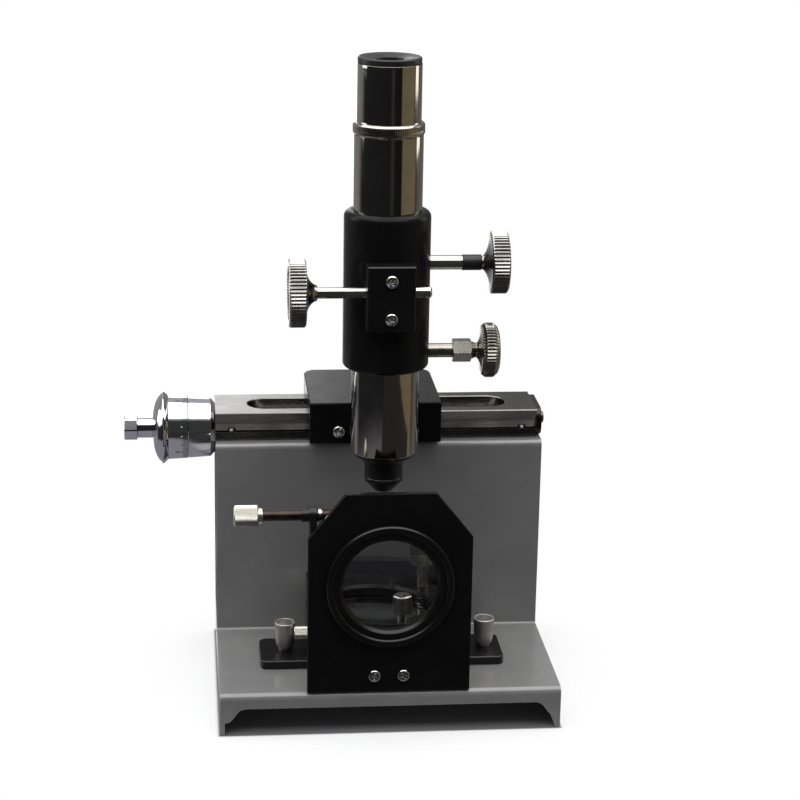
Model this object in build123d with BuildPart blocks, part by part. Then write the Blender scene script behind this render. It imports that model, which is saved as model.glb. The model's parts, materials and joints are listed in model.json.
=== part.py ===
from build123d import *
import math
import os

# A Newton's-rings travelling microscope: a folded sheet base, a dovetail rail with a micrometer
# lead screw, a carriage holding a focusing tube, and an illuminator box with a tilting glass plate
# over a clamped pair of glasses. Millimetres, +Z up, +Y away from the user. The origin is on the
# bench, under the middle of the base.

os.makedirs("parts", exist_ok=True)

# ---- driving dimensions ----
base_width = 150.0
base_depth = 120.0
sheet = 2.0
deck_top = 19.0
riser_front = 15.0
ledge_top = 109.5
bend_outer = 3.0
bend_inner = 1.5

front_y = -base_depth / 2
rear_y = base_depth / 2
optics_x = -1.5
optics_y = -20.0

rail_left = -base_width / 2
rail_right = 73.0
rail_top = 122.8
rail_step = 113.6
rail_front = 20.0
rail_rear = 50.0
rail_waist_front = 23.4
rail_waist_rear = 46.6
edge_break = 0.4
strip_inset = 0.4
slot_length = 120.0
slot_width = 17.0
slot_y = (rail_front + rail_rear) / 2

screw_y = 30.5
screw_z = 113.2
screw_radius = 2.5
running = 0.05

carriage_x = -2.5
carriage_width = 60.0
carriage_front = 10.0
carriage_rear = 66.0
carriage_top = 130.0
carriage_bottom = 111.0
slide_gap = 0.08
gib_thickness = 2.0

tube_radius = 14.9
tube_bore = 12.5
tube_bottom = 117.0
tube_top = 258.3
sleeve_radius = 18.8
sleeve_bottom = 156.2
sleeve_top = 225.5

gear_module = 0.5
pinion_teeth = 14
pressure_angle = math.radians(20)
rack_teeth = 20
rack_width = 5.0
rack_back_y = optics_y - 13.8
pitch_line_y = rack_back_y - 1.8
pinion_pitch_radius = gear_module * pinion_teeth / 2
pinion_y = pitch_line_y - pinion_pitch_radius
pinion_z = 193.5
pinion_shaft_radius = 2.4

plate_thickness = 3.0
plate_left = -37.1
plate_right = 34.1
plate_top = 110.4
plate_shoulder = 90.3
plate_top_half = 19.4
lens_z = 68.6

tilt_y = -50.0
tilt_z = 98.0
tilt_radius = 2.3

wall = 2.5
box_bottom = 22.9
box_top = 50.0
box_left = plate_left + 3.0
box_right = plate_right - 3.0
box_rear = 9.0
floor_top = 31.0
cell_radius = 26.0
cell_screw_circle = 22.0
stud_left = -44.9
stud_right = 45.5
stud_y = -19.0


# ---- shared helpers ----
def save(builder, name):
    """Label a finished piece and write its STEP file."""
    builder.part.label = name
    export_step(builder.part, f"parts/{name}.step")


def along_x(y, z, x=0.0):
    """A plane whose local x runs along +X from (x, y, z) and whose local y is +Z."""
    return Plane(origin=(x, y, z), x_dir=(1, 0, 0), z_dir=(0, -1, 0))


def along_z(x, y, z=0.0):
    """A plane whose local x runs up +Z from (x, y, z) and whose local y is +X."""
    return Plane(origin=(x, y, z), x_dir=(0, 0, 1), z_dir=(0, 1, 0))


def facing_front(y):
    """A plane at this depth that faces the user, with local x and y along +X and +Z."""
    return Plane(origin=(0, y, 0), x_dir=(1, 0, 0), z_dir=(0, -1, 0))


def turn(plane, outline, mode=Mode.ADD):
    """Turn an outline of (distance along the axis, radius) points about the plane's x axis."""
    with BuildSketch(plane) as section:
        with BuildLine():
            Polyline(*outline, close=True)
        make_face()
    revolve(section.sketch, axis=Axis(plane.origin, plane.x_dir), mode=mode)


def rod(start, direction, radius, length, mode=Mode.ADD):
    """A round rod, or a round hole, from a start point along a direction."""
    plane = Plane(origin=start, z_dir=direction)
    with Locations(plane):
        Cylinder(radius, length, align=(Align.CENTER, Align.CENTER, Align.MIN), mode=mode)


def block(low, high, mode=Mode.ADD):
    """A box between its lowest and highest corners."""
    size = [high[i] - low[i] for i in range(3)]
    with Locations(tuple(low)):
        Box(*size, align=(Align.MIN, Align.MIN, Align.MIN), mode=mode)


def crown_height(edge, crown, radius, distance):
    """Height of a spherical crown at a distance from its axis, from its rim and its summit."""
    sag = crown - edge
    sphere = (radius**2 + sag**2) / (2 * abs(sag))
    return crown - math.copysign(sphere - math.sqrt(sphere**2 - distance**2), sag)


def pan_screw(seat, inward, shank_radius, length, head_radius=2.75, head_height=1.9):
    """A cross-recessed pan-head screw: its head stands on the seat and its shank runs inward."""
    plane = Plane(origin=seat, z_dir=tuple(-c for c in inward))
    with BuildSketch(plane) as shank:
        Circle(shank_radius)
    extrude(shank.sketch, amount=-length)
    with BuildSketch(plane) as rim:
        Circle(head_radius)
    extrude(rim.sketch, amount=0.45 * head_height)
    with BuildSketch(plane.offset(0.45 * head_height)) as lower:
        Circle(head_radius)
    with BuildSketch(plane.offset(head_height)) as upper:
        Circle(0.68 * head_radius)
    loft([lower.sketch.face(), upper.sketch.face()])
    with BuildSketch(plane.offset(head_height)) as cross:
        Rectangle(1.15 * head_radius, 0.24 * head_radius)
        Rectangle(0.24 * head_radius, 1.15 * head_radius)
    extrude(cross.sketch, amount=-0.5 * head_height, mode=Mode.SUBTRACT)


# ---- base ----
stud_points = [(stud_left, stud_y), (stud_right, stud_y)]
rail_screw_points = [(x, y) for x in (-67.5, 66.5) for y in (24.0, 46.0)]
arch_top = 12.3
arch_half = 63.5
foot_step = 5.8
foot_rim = 0.5
foot_inner = base_width / 2 - sheet

with BuildPart() as base_frame:
    with BuildSketch(Plane.YZ.offset(-base_width / 2)):
        with BuildLine():
            FilletPolyline(
                (front_y, 0),
                (front_y, deck_top),
                (riser_front, deck_top),
                (riser_front, ledge_top),
                (rear_y, ledge_top),
                (rear_y, 0),
                radius=[bend_outer, bend_inner, bend_outer, bend_outer],
            )
            offset(amount=sheet, side=Side.RIGHT)
        make_face()
    extrude(amount=base_width)
    for left in (-base_width / 2, foot_inner):
        with BuildSketch(Plane.YZ.offset(left)):
            with BuildLine():
                FilletPolyline(
                    (rear_y, 0),
                    (front_y, 0),
                    (front_y, deck_top),
                    (riser_front, deck_top),
                    (riser_front + sheet, deck_top - sheet),
                    (rear_y, deck_top - sheet),
                    radius=[0.01, bend_outer, 0.01, 0.01],
                )
                Line((rear_y, deck_top - sheet), (rear_y, 0))
            make_face()
        extrude(amount=sheet)
    with BuildSketch(facing_front(front_y - 1)):
        with BuildLine():
            Line((-foot_inner, -1), (-foot_inner, foot_step))
            Bezier(
                (-foot_inner, foot_step),
                (-68.2, foot_step),
                (-68.8, arch_top),
                (-arch_half, arch_top),
            )
            Line((-arch_half, arch_top), (arch_half, arch_top))
            Bezier(
                (arch_half, arch_top),
                (68.8, arch_top),
                (68.2, foot_step),
                (foot_inner, foot_step),
            )
            Line((foot_inner, foot_step), (foot_inner, -1))
            Line((foot_inner, -1), (-foot_inner, -1))
        make_face()
    extrude(amount=-(sheet + 3), mode=Mode.SUBTRACT)
    for x, y in stud_points:
        rod((x, y, deck_top - sheet - 1), (0, 0, 1), 2.0 + running, sheet + 2, mode=Mode.SUBTRACT)
    for x, y in rail_screw_points:
        rod((x, y, ledge_top - sheet - 1), (0, 0, 1), 2.0, sheet + 2, mode=Mode.SUBTRACT)
    block((-base_width, front_y - 1, -1), (base_width, rear_y + 1, foot_rim), mode=Mode.SUBTRACT)
    with BuildSketch() as rim:
        Rectangle(base_width, base_depth)
        with Locations((0, -sheet)):
            Rectangle(2 * foot_inner, base_depth, mode=Mode.SUBTRACT)
    extrude(rim.sketch, amount=foot_rim)
save(base_frame, "base_frame")

# ---- rail and its bearings ----
waist_slope = (rail_waist_front - rail_front) / (rail_top - edge_break - rail_step)
end_screw_points = [(25.5, 117.6), (44.5, 117.6)]

with BuildPart() as dovetail_rail:
    with BuildSketch(Plane.YZ.offset(rail_left)):
        with BuildLine():
            Polyline(
                (rail_front + strip_inset, ledge_top),
                (rail_front + strip_inset, rail_step),
                (rail_waist_front, rail_step),
                (rail_front, rail_top - edge_break),
                (rail_front + edge_break, rail_top),
                (rail_rear - edge_break, rail_top),
                (rail_rear, rail_top - edge_break),
                (rail_waist_rear, rail_step),
                (rail_rear - strip_inset, rail_step),
                (rail_rear - strip_inset, ledge_top),
                close=True,
            )
        make_face()
    extrude(amount=rail_right - rail_left)
    with BuildSketch(Plane.XY.offset(ledge_top)):
        with Locations((0, slot_y)):
            SlotOverall(slot_length, slot_width)
    extrude(amount=rail_top - ledge_top, mode=Mode.SUBTRACT)
    slot_rim = dovetail_rail.faces().sort_by(Axis.Z)[-1].inner_wires()[0].edges()
    chamfer(slot_rim, edge_break)
    rod((rail_left - 1, screw_y, screw_z), (1, 0, 0), screw_radius + running, 160, mode=Mode.SUBTRACT)
    for x, y in rail_screw_points:
        rod((x, y, ledge_top - 1), (0, 0, 1), 2.0, 6.5, mode=Mode.SUBTRACT)
    for y, z in end_screw_points:
        rod((rail_right + 1, y, z), (-1, 0, 0), 1.5, 9, mode=Mode.SUBTRACT)
save(dovetail_rail, "dovetail_rail")

cap_thickness = 2.5
with BuildPart() as end_bearing:
    with BuildSketch(Plane.YZ.offset(rail_right)) as cap_face:
        with Locations(((rail_front + rail_rear) / 2, (ledge_top + rail_top) / 2)):
            Rectangle(29.0, rail_top - ledge_top - 0.4)
        fillet(cap_face.vertices().group_by(Axis.Z)[-1], 5.0)
    extrude(amount=cap_thickness)
    rod((rail_right - 1, screw_y, screw_z), (1, 0, 0), screw_radius + running, 2.7, mode=Mode.SUBTRACT)
    for y, z in end_screw_points:
        rod((rail_right - 1, y, z), (1, 0, 0), 1.5, cap_thickness + 2, mode=Mode.SUBTRACT)
save(end_bearing, "end_bearing")

with BuildPart() as rail_screws:
    for x, y in rail_screw_points:
        pan_screw((x, y, ledge_top - sheet), (0, 0, 1), 2.0, 7.5, 3.6, 2.6)
    for y, z in end_screw_points:
        pan_screw((rail_right + cap_thickness, y, z), (-1, 0, 0), 1.5, 10, 2.75, 1.6)
save(rail_screws, "rail_screws")

# ---- micrometer head ----
collar_left = -87.1
drum_right = collar_left - 0.2
drum_left = -96.4
flange_left = -103.6
spinner_left = -116.6
screw_line = along_x(screw_y, screw_z)

with BuildPart() as index_collar:
    turn(
        screw_line,
        [
            (collar_left, screw_radius + running),
            (collar_left, 14.1),
            (-77.2, 13.5),
            (rail_left, 11.0),
            (rail_left, screw_radius + running),
        ],
    )
save(index_collar, "index_collar")

grub_angle = math.radians(49)
grub_direction = (0, math.cos(grub_angle), -math.sin(grub_angle))
grub_x = -94.0


def grub_start(radius):
    """A point on the drum's set-screw line at this distance from the lead screw's axis."""
    y = screw_y - radius * math.cos(grub_angle)
    return (grub_x, y, screw_z + radius * math.sin(grub_angle))


with BuildPart() as micrometer_drum:
    turn(
        screw_line,
        [
            (drum_left, screw_radius),
            (drum_left, 14.65),
            (drum_right - 0.3, 14.2),
            (drum_right, 13.9),
            (drum_right, screw_radius),
        ],
    )
    rod(grub_start(15.5), grub_direction, 1.25, 12.0, mode=Mode.SUBTRACT)
save(micrometer_drum, "micrometer_drum")

with BuildPart() as drum_set_screw:
    rod(grub_start(13.9), grub_direction, 1.25, 10.4)
    with BuildSketch(Plane(origin=grub_start(13.9), z_dir=grub_direction)):
        Rectangle(2.6, 0.5)
    extrude(amount=0.8, mode=Mode.SUBTRACT)
save(drum_set_screw, "drum_set_screw")

with BuildPart() as drum_flange:
    with BuildSketch(screw_line):
        with BuildLine():
            Line((drum_left, screw_radius), (flange_left, screw_radius))
            Line((flange_left, screw_radius), (flange_left, 4.6))
            ThreePointArc((flange_left, 4.6), (-102.7, 10.6), (-99.8, 15.9))
            Line((-99.8, 15.9), (-99.2, 16.7))
            Line((-99.2, 16.7), (-98.6, 16.7))
            Line((-98.6, 16.7), (drum_left, 14.65))
            Line((drum_left, 14.65), (drum_left, screw_radius))
        make_face()
    revolve(axis=Axis((0, screw_y, screw_z), (1, 0, 0)))
save(drum_flange, "drum_flange")

spinner_neck = -110.6
with BuildPart() as spinner:
    turn(screw_line, [(flange_left, 0), (flange_left, 4.7), (spinner_neck, 4.7), (spinner_neck, 0)])
    with BuildSketch(Plane(origin=(spinner_neck, screw_y, screw_z), z_dir=(-1, 0, 0))):
        RegularPolygon(5.0, 6, major_radius=False)
    extrude(amount=spinner_neck - spinner_left)
    turn(
        screw_line,
        [(spinner_left, 1.8), (spinner_left + 4.2, 6.0), (spinner_left, 6.0)],
        mode=Mode.SUBTRACT,
    )
save(spinner, "spinner")

with BuildPart() as lead_screw:
    turn(
        screw_line,
        [
            (flange_left, 0),
            (flange_left, screw_radius),
            (rail_right + 1.5, screw_radius),
            (rail_right + 1.5, 0),
        ],
    )
save(lead_screw, "lead_screw")


# ---- carriage on the dovetail ----
def rail_face_front(z, away=0.0):
    """Depth of the rail's front dovetail face at a height, moved squarely away from the rail."""
    return rail_waist_front - waist_slope * (z - rail_step) - away * math.hypot(1, waist_slope)


def rail_face_rear(z, away=0.0):
    """Depth of the rail's rear dovetail face at a height, moved squarely away from the rail."""
    return rail_waist_rear + waist_slope * (z - rail_step) + away * math.hypot(1, waist_slope)


throat_z = rail_step + slide_gap
ceiling_z = rail_top + slide_gap
strip_front = rail_front + strip_inset - slide_gap
strip_rear = rail_rear - strip_inset + slide_gap
gib_seat = slide_gap + gib_thickness
carriage_left = carriage_x - carriage_width / 2
carriage_right = carriage_x + carriage_width / 2
gib_screw_points = [(carriage_x - 16.9, 116.6), (carriage_x + 16.9, 116.6)]
nut_half = 8.0
nut_screw_points = [(carriage_x - 4.5, 40.0), (carriage_x + 4.5, 40.0)]
limb_left = -11.5
limb_right = 8.5
limb_rear = carriage_front + 12.0
foot_rear = 35.0
foot_height = 6.0
foot_screw_points = [(-7.5, 30.0), (4.5, 30.0)]
sleeve_screw_heights = [172.0, 209.0]
sleeve_screw_seat = 8.4
m4_shank = 12.0

with BuildPart() as carriage:
    with BuildSketch(Plane.YZ.offset(carriage_left)):
        with BuildLine():
            Polyline(
                (carriage_front, carriage_bottom),
                (strip_front, carriage_bottom),
                (strip_front, throat_z),
                (rail_face_front(throat_z, gib_seat), throat_z),
                (rail_face_front(ceiling_z, gib_seat), ceiling_z),
                (rail_face_rear(ceiling_z, slide_gap), ceiling_z),
                (rail_face_rear(throat_z, slide_gap), throat_z),
                (strip_rear, throat_z),
                (strip_rear, carriage_bottom),
                (carriage_rear, carriage_bottom),
                (carriage_rear, carriage_top),
                (carriage_front, carriage_top),
                close=True,
            )
        make_face()
    extrude(amount=carriage_width)
    uprights = carriage.edges().filter_by(Axis.Z)
    fillet(uprights.group_by(Axis.Y)[-1], 6.0)
    fillet(uprights.group_by(Axis.Y)[0], 0.8)
    chamfer(carriage.faces().sort_by(Axis.Z)[-1].edges(), 0.5)
    for x, z in gib_screw_points:
        rod((x, carriage_front - 1, z), (0, 1, 0), 1.25, 12, mode=Mode.SUBTRACT)
    for x, y in nut_screw_points + foot_screw_points:
        rod((x, y, carriage_top + 1), (0, 0, -1), 2.0, 12, mode=Mode.SUBTRACT)
save(carriage, "carriage")

gib_low = rail_step + 0.6
gib_high = rail_top - 0.5
with BuildPart() as gib_strip:
    with BuildSketch(Plane.YZ.offset(carriage_left + 2)):
        with BuildLine():
            Polyline(
                (rail_face_front(gib_low, slide_gap), gib_low),
                (rail_face_front(gib_high, slide_gap), gib_high),
                (rail_face_front(gib_high, gib_seat), gib_high),
                (rail_face_front(gib_low, gib_seat), gib_low),
                close=True,
            )
        make_face()
    extrude(amount=carriage_width - 4)
save(gib_strip, "gib_strip")

gib_screw_length = rail_face_front(gib_screw_points[0][1] + 1.25, gib_seat) - carriage_front
with BuildPart() as gib_screws:
    for x, z in gib_screw_points:
        pan_screw((x, carriage_front, z), (0, 1, 0), 1.25, gib_screw_length)
save(gib_screws, "gib_screws")

with BuildPart() as feed_nut:
    block(
        (carriage_x - nut_half, slot_y - nut_half, ledge_top + 0.7),
        (carriage_x + nut_half, slot_y + nut_half, ceiling_z),
    )
    chamfer(feed_nut.edges().filter_by(Axis.Z), 1.5)
    rod(
        (carriage_x - nut_half - 1, screw_y, screw_z),
        (1, 0, 0),
        screw_radius + running,
        2 * nut_half + 2,
        mode=Mode.SUBTRACT,
    )
    for x, y in nut_screw_points:
        rod((x, y, carriage_top), (0, 0, -1), 2.0, m4_shank, mode=Mode.SUBTRACT)
save(feed_nut, "feed_nut")

with BuildPart() as limb:
    block((limb_left, carriage_front, carriage_top), (limb_right, limb_rear, 221.0))
    block((limb_left, carriage_front, carriage_top), (limb_right, foot_rear, carriage_top + foot_height))
    block((limb_left, optics_y + 15.0, 160.0), (limb_right, carriage_front, 221.0))
    heel = limb.edges().filter_by(Axis.X).sort_by_distance((0, limb_rear, carriage_top + foot_height))[0]
    fillet(heel, 3.0)
    neck = limb.edges().filter_by(Axis.X).sort_by_distance((0, carriage_front, 160.0))[0]
    fillet(neck, 6.0)
    rod((optics_x, optics_y, 150), (0, 0, 1), sleeve_radius, 80, mode=Mode.SUBTRACT)
    for z in sleeve_screw_heights:
        rod((optics_x, sleeve_screw_seat, z), (0, 1, 0), 4.2, limb_rear, mode=Mode.SUBTRACT)
        rod((optics_x, limb_rear + 1, z), (0, -1, 0), 2.0, 30, mode=Mode.SUBTRACT)
    for x, y in foot_screw_points:
        rod((x, y, carriage_top - 1), (0, 0, 1), 2.0, foot_height + 2, mode=Mode.SUBTRACT)
save(limb, "limb")

with BuildPart() as limb_screws:
    for x, y in foot_screw_points:
        pan_screw((x, y, carriage_top + foot_height), (0, 0, -1), 2.0, m4_shank, 3.6, 2.4)
    for x, y in nut_screw_points:
        pan_screw((x, y, carriage_top), (0, 0, -1), 2.0, m4_shank, 3.6, 2.4)
    for z in sleeve_screw_heights:
        pan_screw((optics_x, sleeve_screw_seat, z), (0, -1, 0), 2.0, m4_shank, 3.6, 2.4)
save(limb_screws, "limb_screws")

# ---- focusing sleeve, pinion block and their screws ----
upper_clamp_z = 202.0
lower_clamp_z = 162.7
clamp_radius = 3.1
keyway_half = rack_width / 2 + 0.3
keyway_depth_y = pitch_line_y - 0.9
keyway_top = 219.5
window_half = 4.6
block_half = 10.3
block_front = -45.5
block_low = 177.5
block_high = 206.0
block_screw_heights = [183.3, 199.7]
block_screw_length = 8.4
tube_line = along_z(optics_x, optics_y)

with BuildPart() as sleeve:
    turn(
        tube_line,
        [
            (sleeve_bottom, tube_radius + running),
            (sleeve_bottom, sleeve_radius),
            (sleeve_top, sleeve_radius),
            (sleeve_top, tube_radius + running),
        ],
    )
    outer_rims = sleeve.edges().filter_by(GeomType.CIRCLE).filter_by(lambda e: e.radius > 18)
    fillet(outer_rims.group_by(Axis.Z)[-1], 3.0)
    fillet(outer_rims.group_by(Axis.Z)[0], 2.0)
    block(
        (optics_x - keyway_half, keyway_depth_y, sleeve_bottom - 1),
        (optics_x + keyway_half, optics_y - 13.0, keyway_top),
        mode=Mode.SUBTRACT,
    )
    block(
        (optics_x - window_half, pinion_y - 4, pinion_z - window_half),
        (optics_x + window_half, optics_y - 13.0, pinion_z + window_half),
        mode=Mode.SUBTRACT,
    )
    rod(
        (optics_x - block_half, pinion_y, pinion_z),
        (1, 0, 0),
        pinion_shaft_radius + 0.3,
        2 * block_half,
        mode=Mode.SUBTRACT,
    )
    for z in (upper_clamp_z, lower_clamp_z):
        rod((optics_x, optics_y, z), (1, 0, 0), clamp_radius + running, 25, mode=Mode.SUBTRACT)
    for z in block_screw_heights:
        rod((optics_x, block_front, z), (0, 1, 0), 1.25, block_screw_length, mode=Mode.SUBTRACT)
    for z in sleeve_screw_heights:
        rod((optics_x, sleeve_screw_seat, z), (0, -1, 0), 2.0, m4_shank, mode=Mode.SUBTRACT)
save(sleeve, "sleeve")

with BuildPart() as pinion_block:
    block(
        (optics_x - block_half, block_front, block_low),
        (optics_x + block_half, optics_y - 15.5, block_high),
    )
    chamfer(pinion_block.faces().sort_by(Axis.Y)[0].edges(), 0.5)
    rod((optics_x, optics_y, 150), (0, 0, 1), sleeve_radius, 80, mode=Mode.SUBTRACT)
    rod(
        (optics_x - block_half - 1, pinion_y, pinion_z),
        (1, 0, 0),
        pinion_shaft_radius + running,
        2 * block_half + 2,
        mode=Mode.SUBTRACT,
    )
    rod(
        (optics_x - window_half, pinion_y, pinion_z),
        (1, 0, 0),
        pinion_pitch_radius + gear_module + 0.4,
        2 * window_half,
        mode=Mode.SUBTRACT,
    )
    for z in block_screw_heights:
        rod((optics_x, block_front - 1, z), (0, 1, 0), 1.25, 12, mode=Mode.SUBTRACT)
save(pinion_block, "pinion_block")

with BuildPart() as block_screws:
    for z in block_screw_heights:
        pan_screw((optics_x, block_front, z), (0, 1, 0), 1.25, block_screw_length)
save(block_screws, "block_screws")

# ---- body tube with its rack and objective ----
rack_pitch = math.pi * gear_module
rack_half = rack_pitch * rack_teeth / 2
groove_half = rack_width / 2

with BuildPart() as body_tube:
    turn(
        tube_line,
        [
            (tube_bottom, tube_bore),
            (tube_bottom, tube_radius - 0.8),
            (tube_bottom + 0.8, tube_radius),
            (tube_top - 0.3, tube_radius),
            (tube_top, tube_radius - 0.3),
            (tube_top, tube_bore),
        ],
    )
    block(
        (optics_x - groove_half, optics_y - 16, pinion_z - rack_half),
        (optics_x + groove_half, rack_back_y, pinion_z + rack_half),
        mode=Mode.SUBTRACT,
    )
save(body_tube, "body_tube")


def rack_outline():
    """Rack outline as (depth, height) points, with a tooth gap level with the pinion's axis."""
    root_y = pitch_line_y + 1.25 * gear_module
    tip_y = pitch_line_y - 0.8 * gear_module
    half_pitch_land = rack_pitch / 4 - 0.03
    half_root = half_pitch_land + (root_y - pitch_line_y) * math.tan(pressure_angle)
    half_tip = half_pitch_land - (pitch_line_y - tip_y) * math.tan(pressure_angle)
    points = [(rack_back_y, pinion_z - rack_half), (root_y, pinion_z - rack_half)]
    for i in range(rack_teeth):
        middle = pinion_z + (i - rack_teeth / 2 + 0.5) * rack_pitch
        points.append((root_y, middle - half_root))
        points.append((tip_y, middle - half_tip))
        points.append((tip_y, middle + half_tip))
        points.append((root_y, middle + half_root))
    points.append((root_y, pinion_z + rack_half))
    points.append((rack_back_y, pinion_z + rack_half))
    return points


with BuildPart() as rack:
    with BuildSketch(Plane.YZ.offset(optics_x - rack_width / 2)):
        with BuildLine():
            Polyline(*rack_outline(), close=True)
        make_face()
    extrude(amount=rack_width)
save(rack, "rack")

with BuildPart() as objective_mount:
    turn(
        tube_line,
        [
            (tube_bottom + 5.0, 6.0),
            (tube_bottom + 5.0, tube_bore),
            (tube_bottom, tube_bore),
            (tube_bottom, 13.8),
            (tube_bottom - 0.8, 13.8),
            (112.8, 9.2),
            (112.4, 6.0),
        ],
    )
save(objective_mount, "objective_mount")

nose_z = 99.0
with BuildPart() as objective_barrel:
    turn(
        tube_line,
        [
            (tube_bottom + 3.0, 4.6),
            (tube_bottom + 3.0, 6.0),
            (112.4, 6.0),
            (112.4, 8.45),
            (103.7, 8.45),
            (nose_z, 4.0),
            (nose_z, 2.6),
            (nose_z + 0.6, 3.4),
            (nose_z + 2.6, 3.4),
            (nose_z + 2.6, 3.0),
            (106.0, 4.6),
        ],
    )
save(objective_barrel, "objective_barrel")

with BuildPart() as objective_lens:
    with BuildSketch(tube_line):
        with BuildLine():
            Line((nose_z + 2.6, 0), (nose_z + 2.6, 3.4))
            Line((nose_z + 2.6, 3.4), (nose_z + 1.3, 3.4))
            middle = crown_height(nose_z + 1.3, nose_z + 0.7, 3.4, 1.7)
            ThreePointArc((nose_z + 1.3, 3.4), (middle, 1.7), (nose_z + 0.7, 0))
            Line((nose_z + 0.7, 0), (nose_z + 2.6, 0))
        make_face()
    revolve(axis=Axis((optics_x, optics_y, 0), (0, 0, 1)))
save(objective_lens, "objective_lens")

# ---- eyepiece ----
ring_top = 263.2
barrel_top = 288.0
barrel_radius = 13.8
eyepiece_bore = 11.0
insert_bottom = 228.0

with BuildPart() as eyepiece_barrel:
    turn(
        tube_line,
        [
            (insert_bottom, eyepiece_bore),
            (insert_bottom, tube_bore - running),
            (tube_top, tube_bore - running),
            (tube_top, 14.9),
            (tube_top + 0.5, 15.4),
            (ring_top - 0.5, 15.4),
            (ring_top, 14.9),
            (ring_top, barrel_radius),
            (barrel_top, barrel_radius),
            (barrel_top, eyepiece_bore),
        ],
    )
save(eyepiece_barrel, "eyepiece_barrel")

with BuildPart() as eyepiece_cap:
    turn(
        tube_line,
        [
            (281.0, 8.6),
            (281.0, eyepiece_bore),
            (barrel_top, eyepiece_bore),
            (barrel_top, 13.4),
            (barrel_top + 0.4, 13.6),
            (barrel_top + 2.4, 13.6),
            (barrel_top + 2.8, 13.2),
            (barrel_top + 1.6, 6.0),
            (287.2, 5.6),
            (287.2, 8.6),
        ],
    )
save(eyepiece_cap, "eyepiece_cap")


def thin_lens(flat_z, edge_z, crown_z, radius):
    """A flat-backed lens on the tube's axis: its flat face, its rim and the top of its curve."""
    with BuildSketch(tube_line) as section:
        with BuildLine():
            Line((flat_z, 0), (flat_z, radius))
            Line((flat_z, radius), (edge_z, radius))
            middle = crown_height(edge_z, crown_z, radius, radius / 2)
            ThreePointArc((edge_z, radius), (middle, radius / 2), (crown_z, 0))
            Line((crown_z, 0), (flat_z, 0))
        make_face()
    revolve(section.sketch, axis=Axis((optics_x, optics_y, 0), (0, 0, 1)))


with BuildPart() as eye_lens:
    thin_lens(287.2, 284.6, 282.6, 8.6)
save(eye_lens, "eye_lens")

with BuildPart() as field_lens:
    thin_lens(232.0, 234.0, 236.6, eyepiece_bore)
save(field_lens, "field_lens")

with BuildPart() as crosswire_ring:
    turn(tube_line, [(243.0, 8.2), (243.0, 11.0), (245.0, 11.0), (245.0, 8.2)])
    for size in ((17.0, 0.2, 0.2), (0.2, 17.0, 0.2)):
        with Locations((optics_x, optics_y, 244.0)):
            Box(*size)
save(crosswire_ring, "crosswire_ring")

# ---- focusing pinion ----
knob_left = -44.8
knob_inner = -37.5
pinion_shaft_right = 16.1
pinion_line = along_x(pinion_y, pinion_z)


def pinion_outline():
    """Involute pinion outline about its own axis, with a tooth on the local x axis."""
    base_radius = pinion_pitch_radius * math.cos(pressure_angle)
    tip_radius = pinion_pitch_radius + gear_module
    root_radius = pinion_pitch_radius - 1.25 * gear_module
    involute_at_pitch = math.tan(pressure_angle) - pressure_angle
    half_tooth = math.pi / (2 * pinion_teeth) - 0.03 / pinion_pitch_radius
    flank = [(root_radius, half_tooth + involute_at_pitch)]
    steps = 5
    for i in range(steps):
        radius = base_radius + (tip_radius - base_radius) * i / (steps - 1)
        roll = math.acos(base_radius / radius)
        flank.append((radius, half_tooth + involute_at_pitch - (math.tan(roll) - roll)))
    points = []
    for tooth in range(pinion_teeth):
        middle = 2 * math.pi * tooth / pinion_teeth
        for radius, half in flank:
            points.append((radius * math.cos(middle - half), radius * math.sin(middle - half)))
        for radius, half in reversed(flank):
            points.append((radius * math.cos(middle + half), radius * math.sin(middle + half)))
    return points


with BuildPart() as pinion_shaft:
    turn(
        pinion_line,
        [
            (knob_left + 3, 0),
            (knob_left + 3, pinion_shaft_radius),
            (pinion_shaft_right - 0.8, pinion_shaft_radius),
            (pinion_shaft_right, pinion_shaft_radius - 0.8),
            (pinion_shaft_right, 0),
        ],
    )
    gear_plane = Plane(origin=(optics_x - 4, pinion_y, pinion_z), x_dir=(0, 1, 0), z_dir=(1, 0, 0))
    with BuildSketch(gear_plane):
        with BuildLine():
            Polyline(*pinion_outline(), close=True)
        make_face()
    extrude(amount=8.0)
save(pinion_shaft, "pinion_shaft")

with BuildPart() as pinion_knob:
    turn(
        pinion_line,
        [
            (knob_left, 0),
            (knob_left, 13.9),
            (knob_left + 0.7, 14.6),
            (knob_inner - 0.7, 14.6),
            (knob_inner, 13.9),
            (knob_inner + 0.5, 9.5),
            (knob_inner + 1.6, 5.8),
            (knob_inner + 3.2, 4.0),
            (knob_inner + 4.8, 3.4),
            (knob_inner + 4.8, pinion_shaft_radius),
            (knob_left + 3, pinion_shaft_radius),
            (knob_left + 3, 0),
        ],
    )
save(pinion_knob, "pinion_knob")

# ---- clamp screws on the sleeve's right side ----
clamp_tip = optics_x + tube_radius + 0.1
upper_line = along_x(optics_y, upper_clamp_z)
lower_line = along_x(optics_y, lower_clamp_z)
spacer_left = 31.1
spacer_right = 39.4
spacer_bore = 2.4
socket_depth = 5.0

with BuildPart() as upper_clamp_screw:
    turn(
        upper_line,
        [
            (clamp_tip, 0),
            (clamp_tip, clamp_radius),
            (spacer_left, clamp_radius),
            (spacer_left, spacer_bore),
            (spacer_right + socket_depth, spacer_bore),
            (spacer_right + socket_depth, 0),
        ],
    )
save(upper_clamp_screw, "upper_clamp_screw")

with BuildPart() as clamp_spacer:
    turn(
        upper_line,
        [
            (spacer_left, spacer_bore),
            (spacer_left, 3.4),
            (spacer_right, 3.4),
            (spacer_right, spacer_bore),
        ],
    )
save(clamp_spacer, "clamp_spacer")

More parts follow.
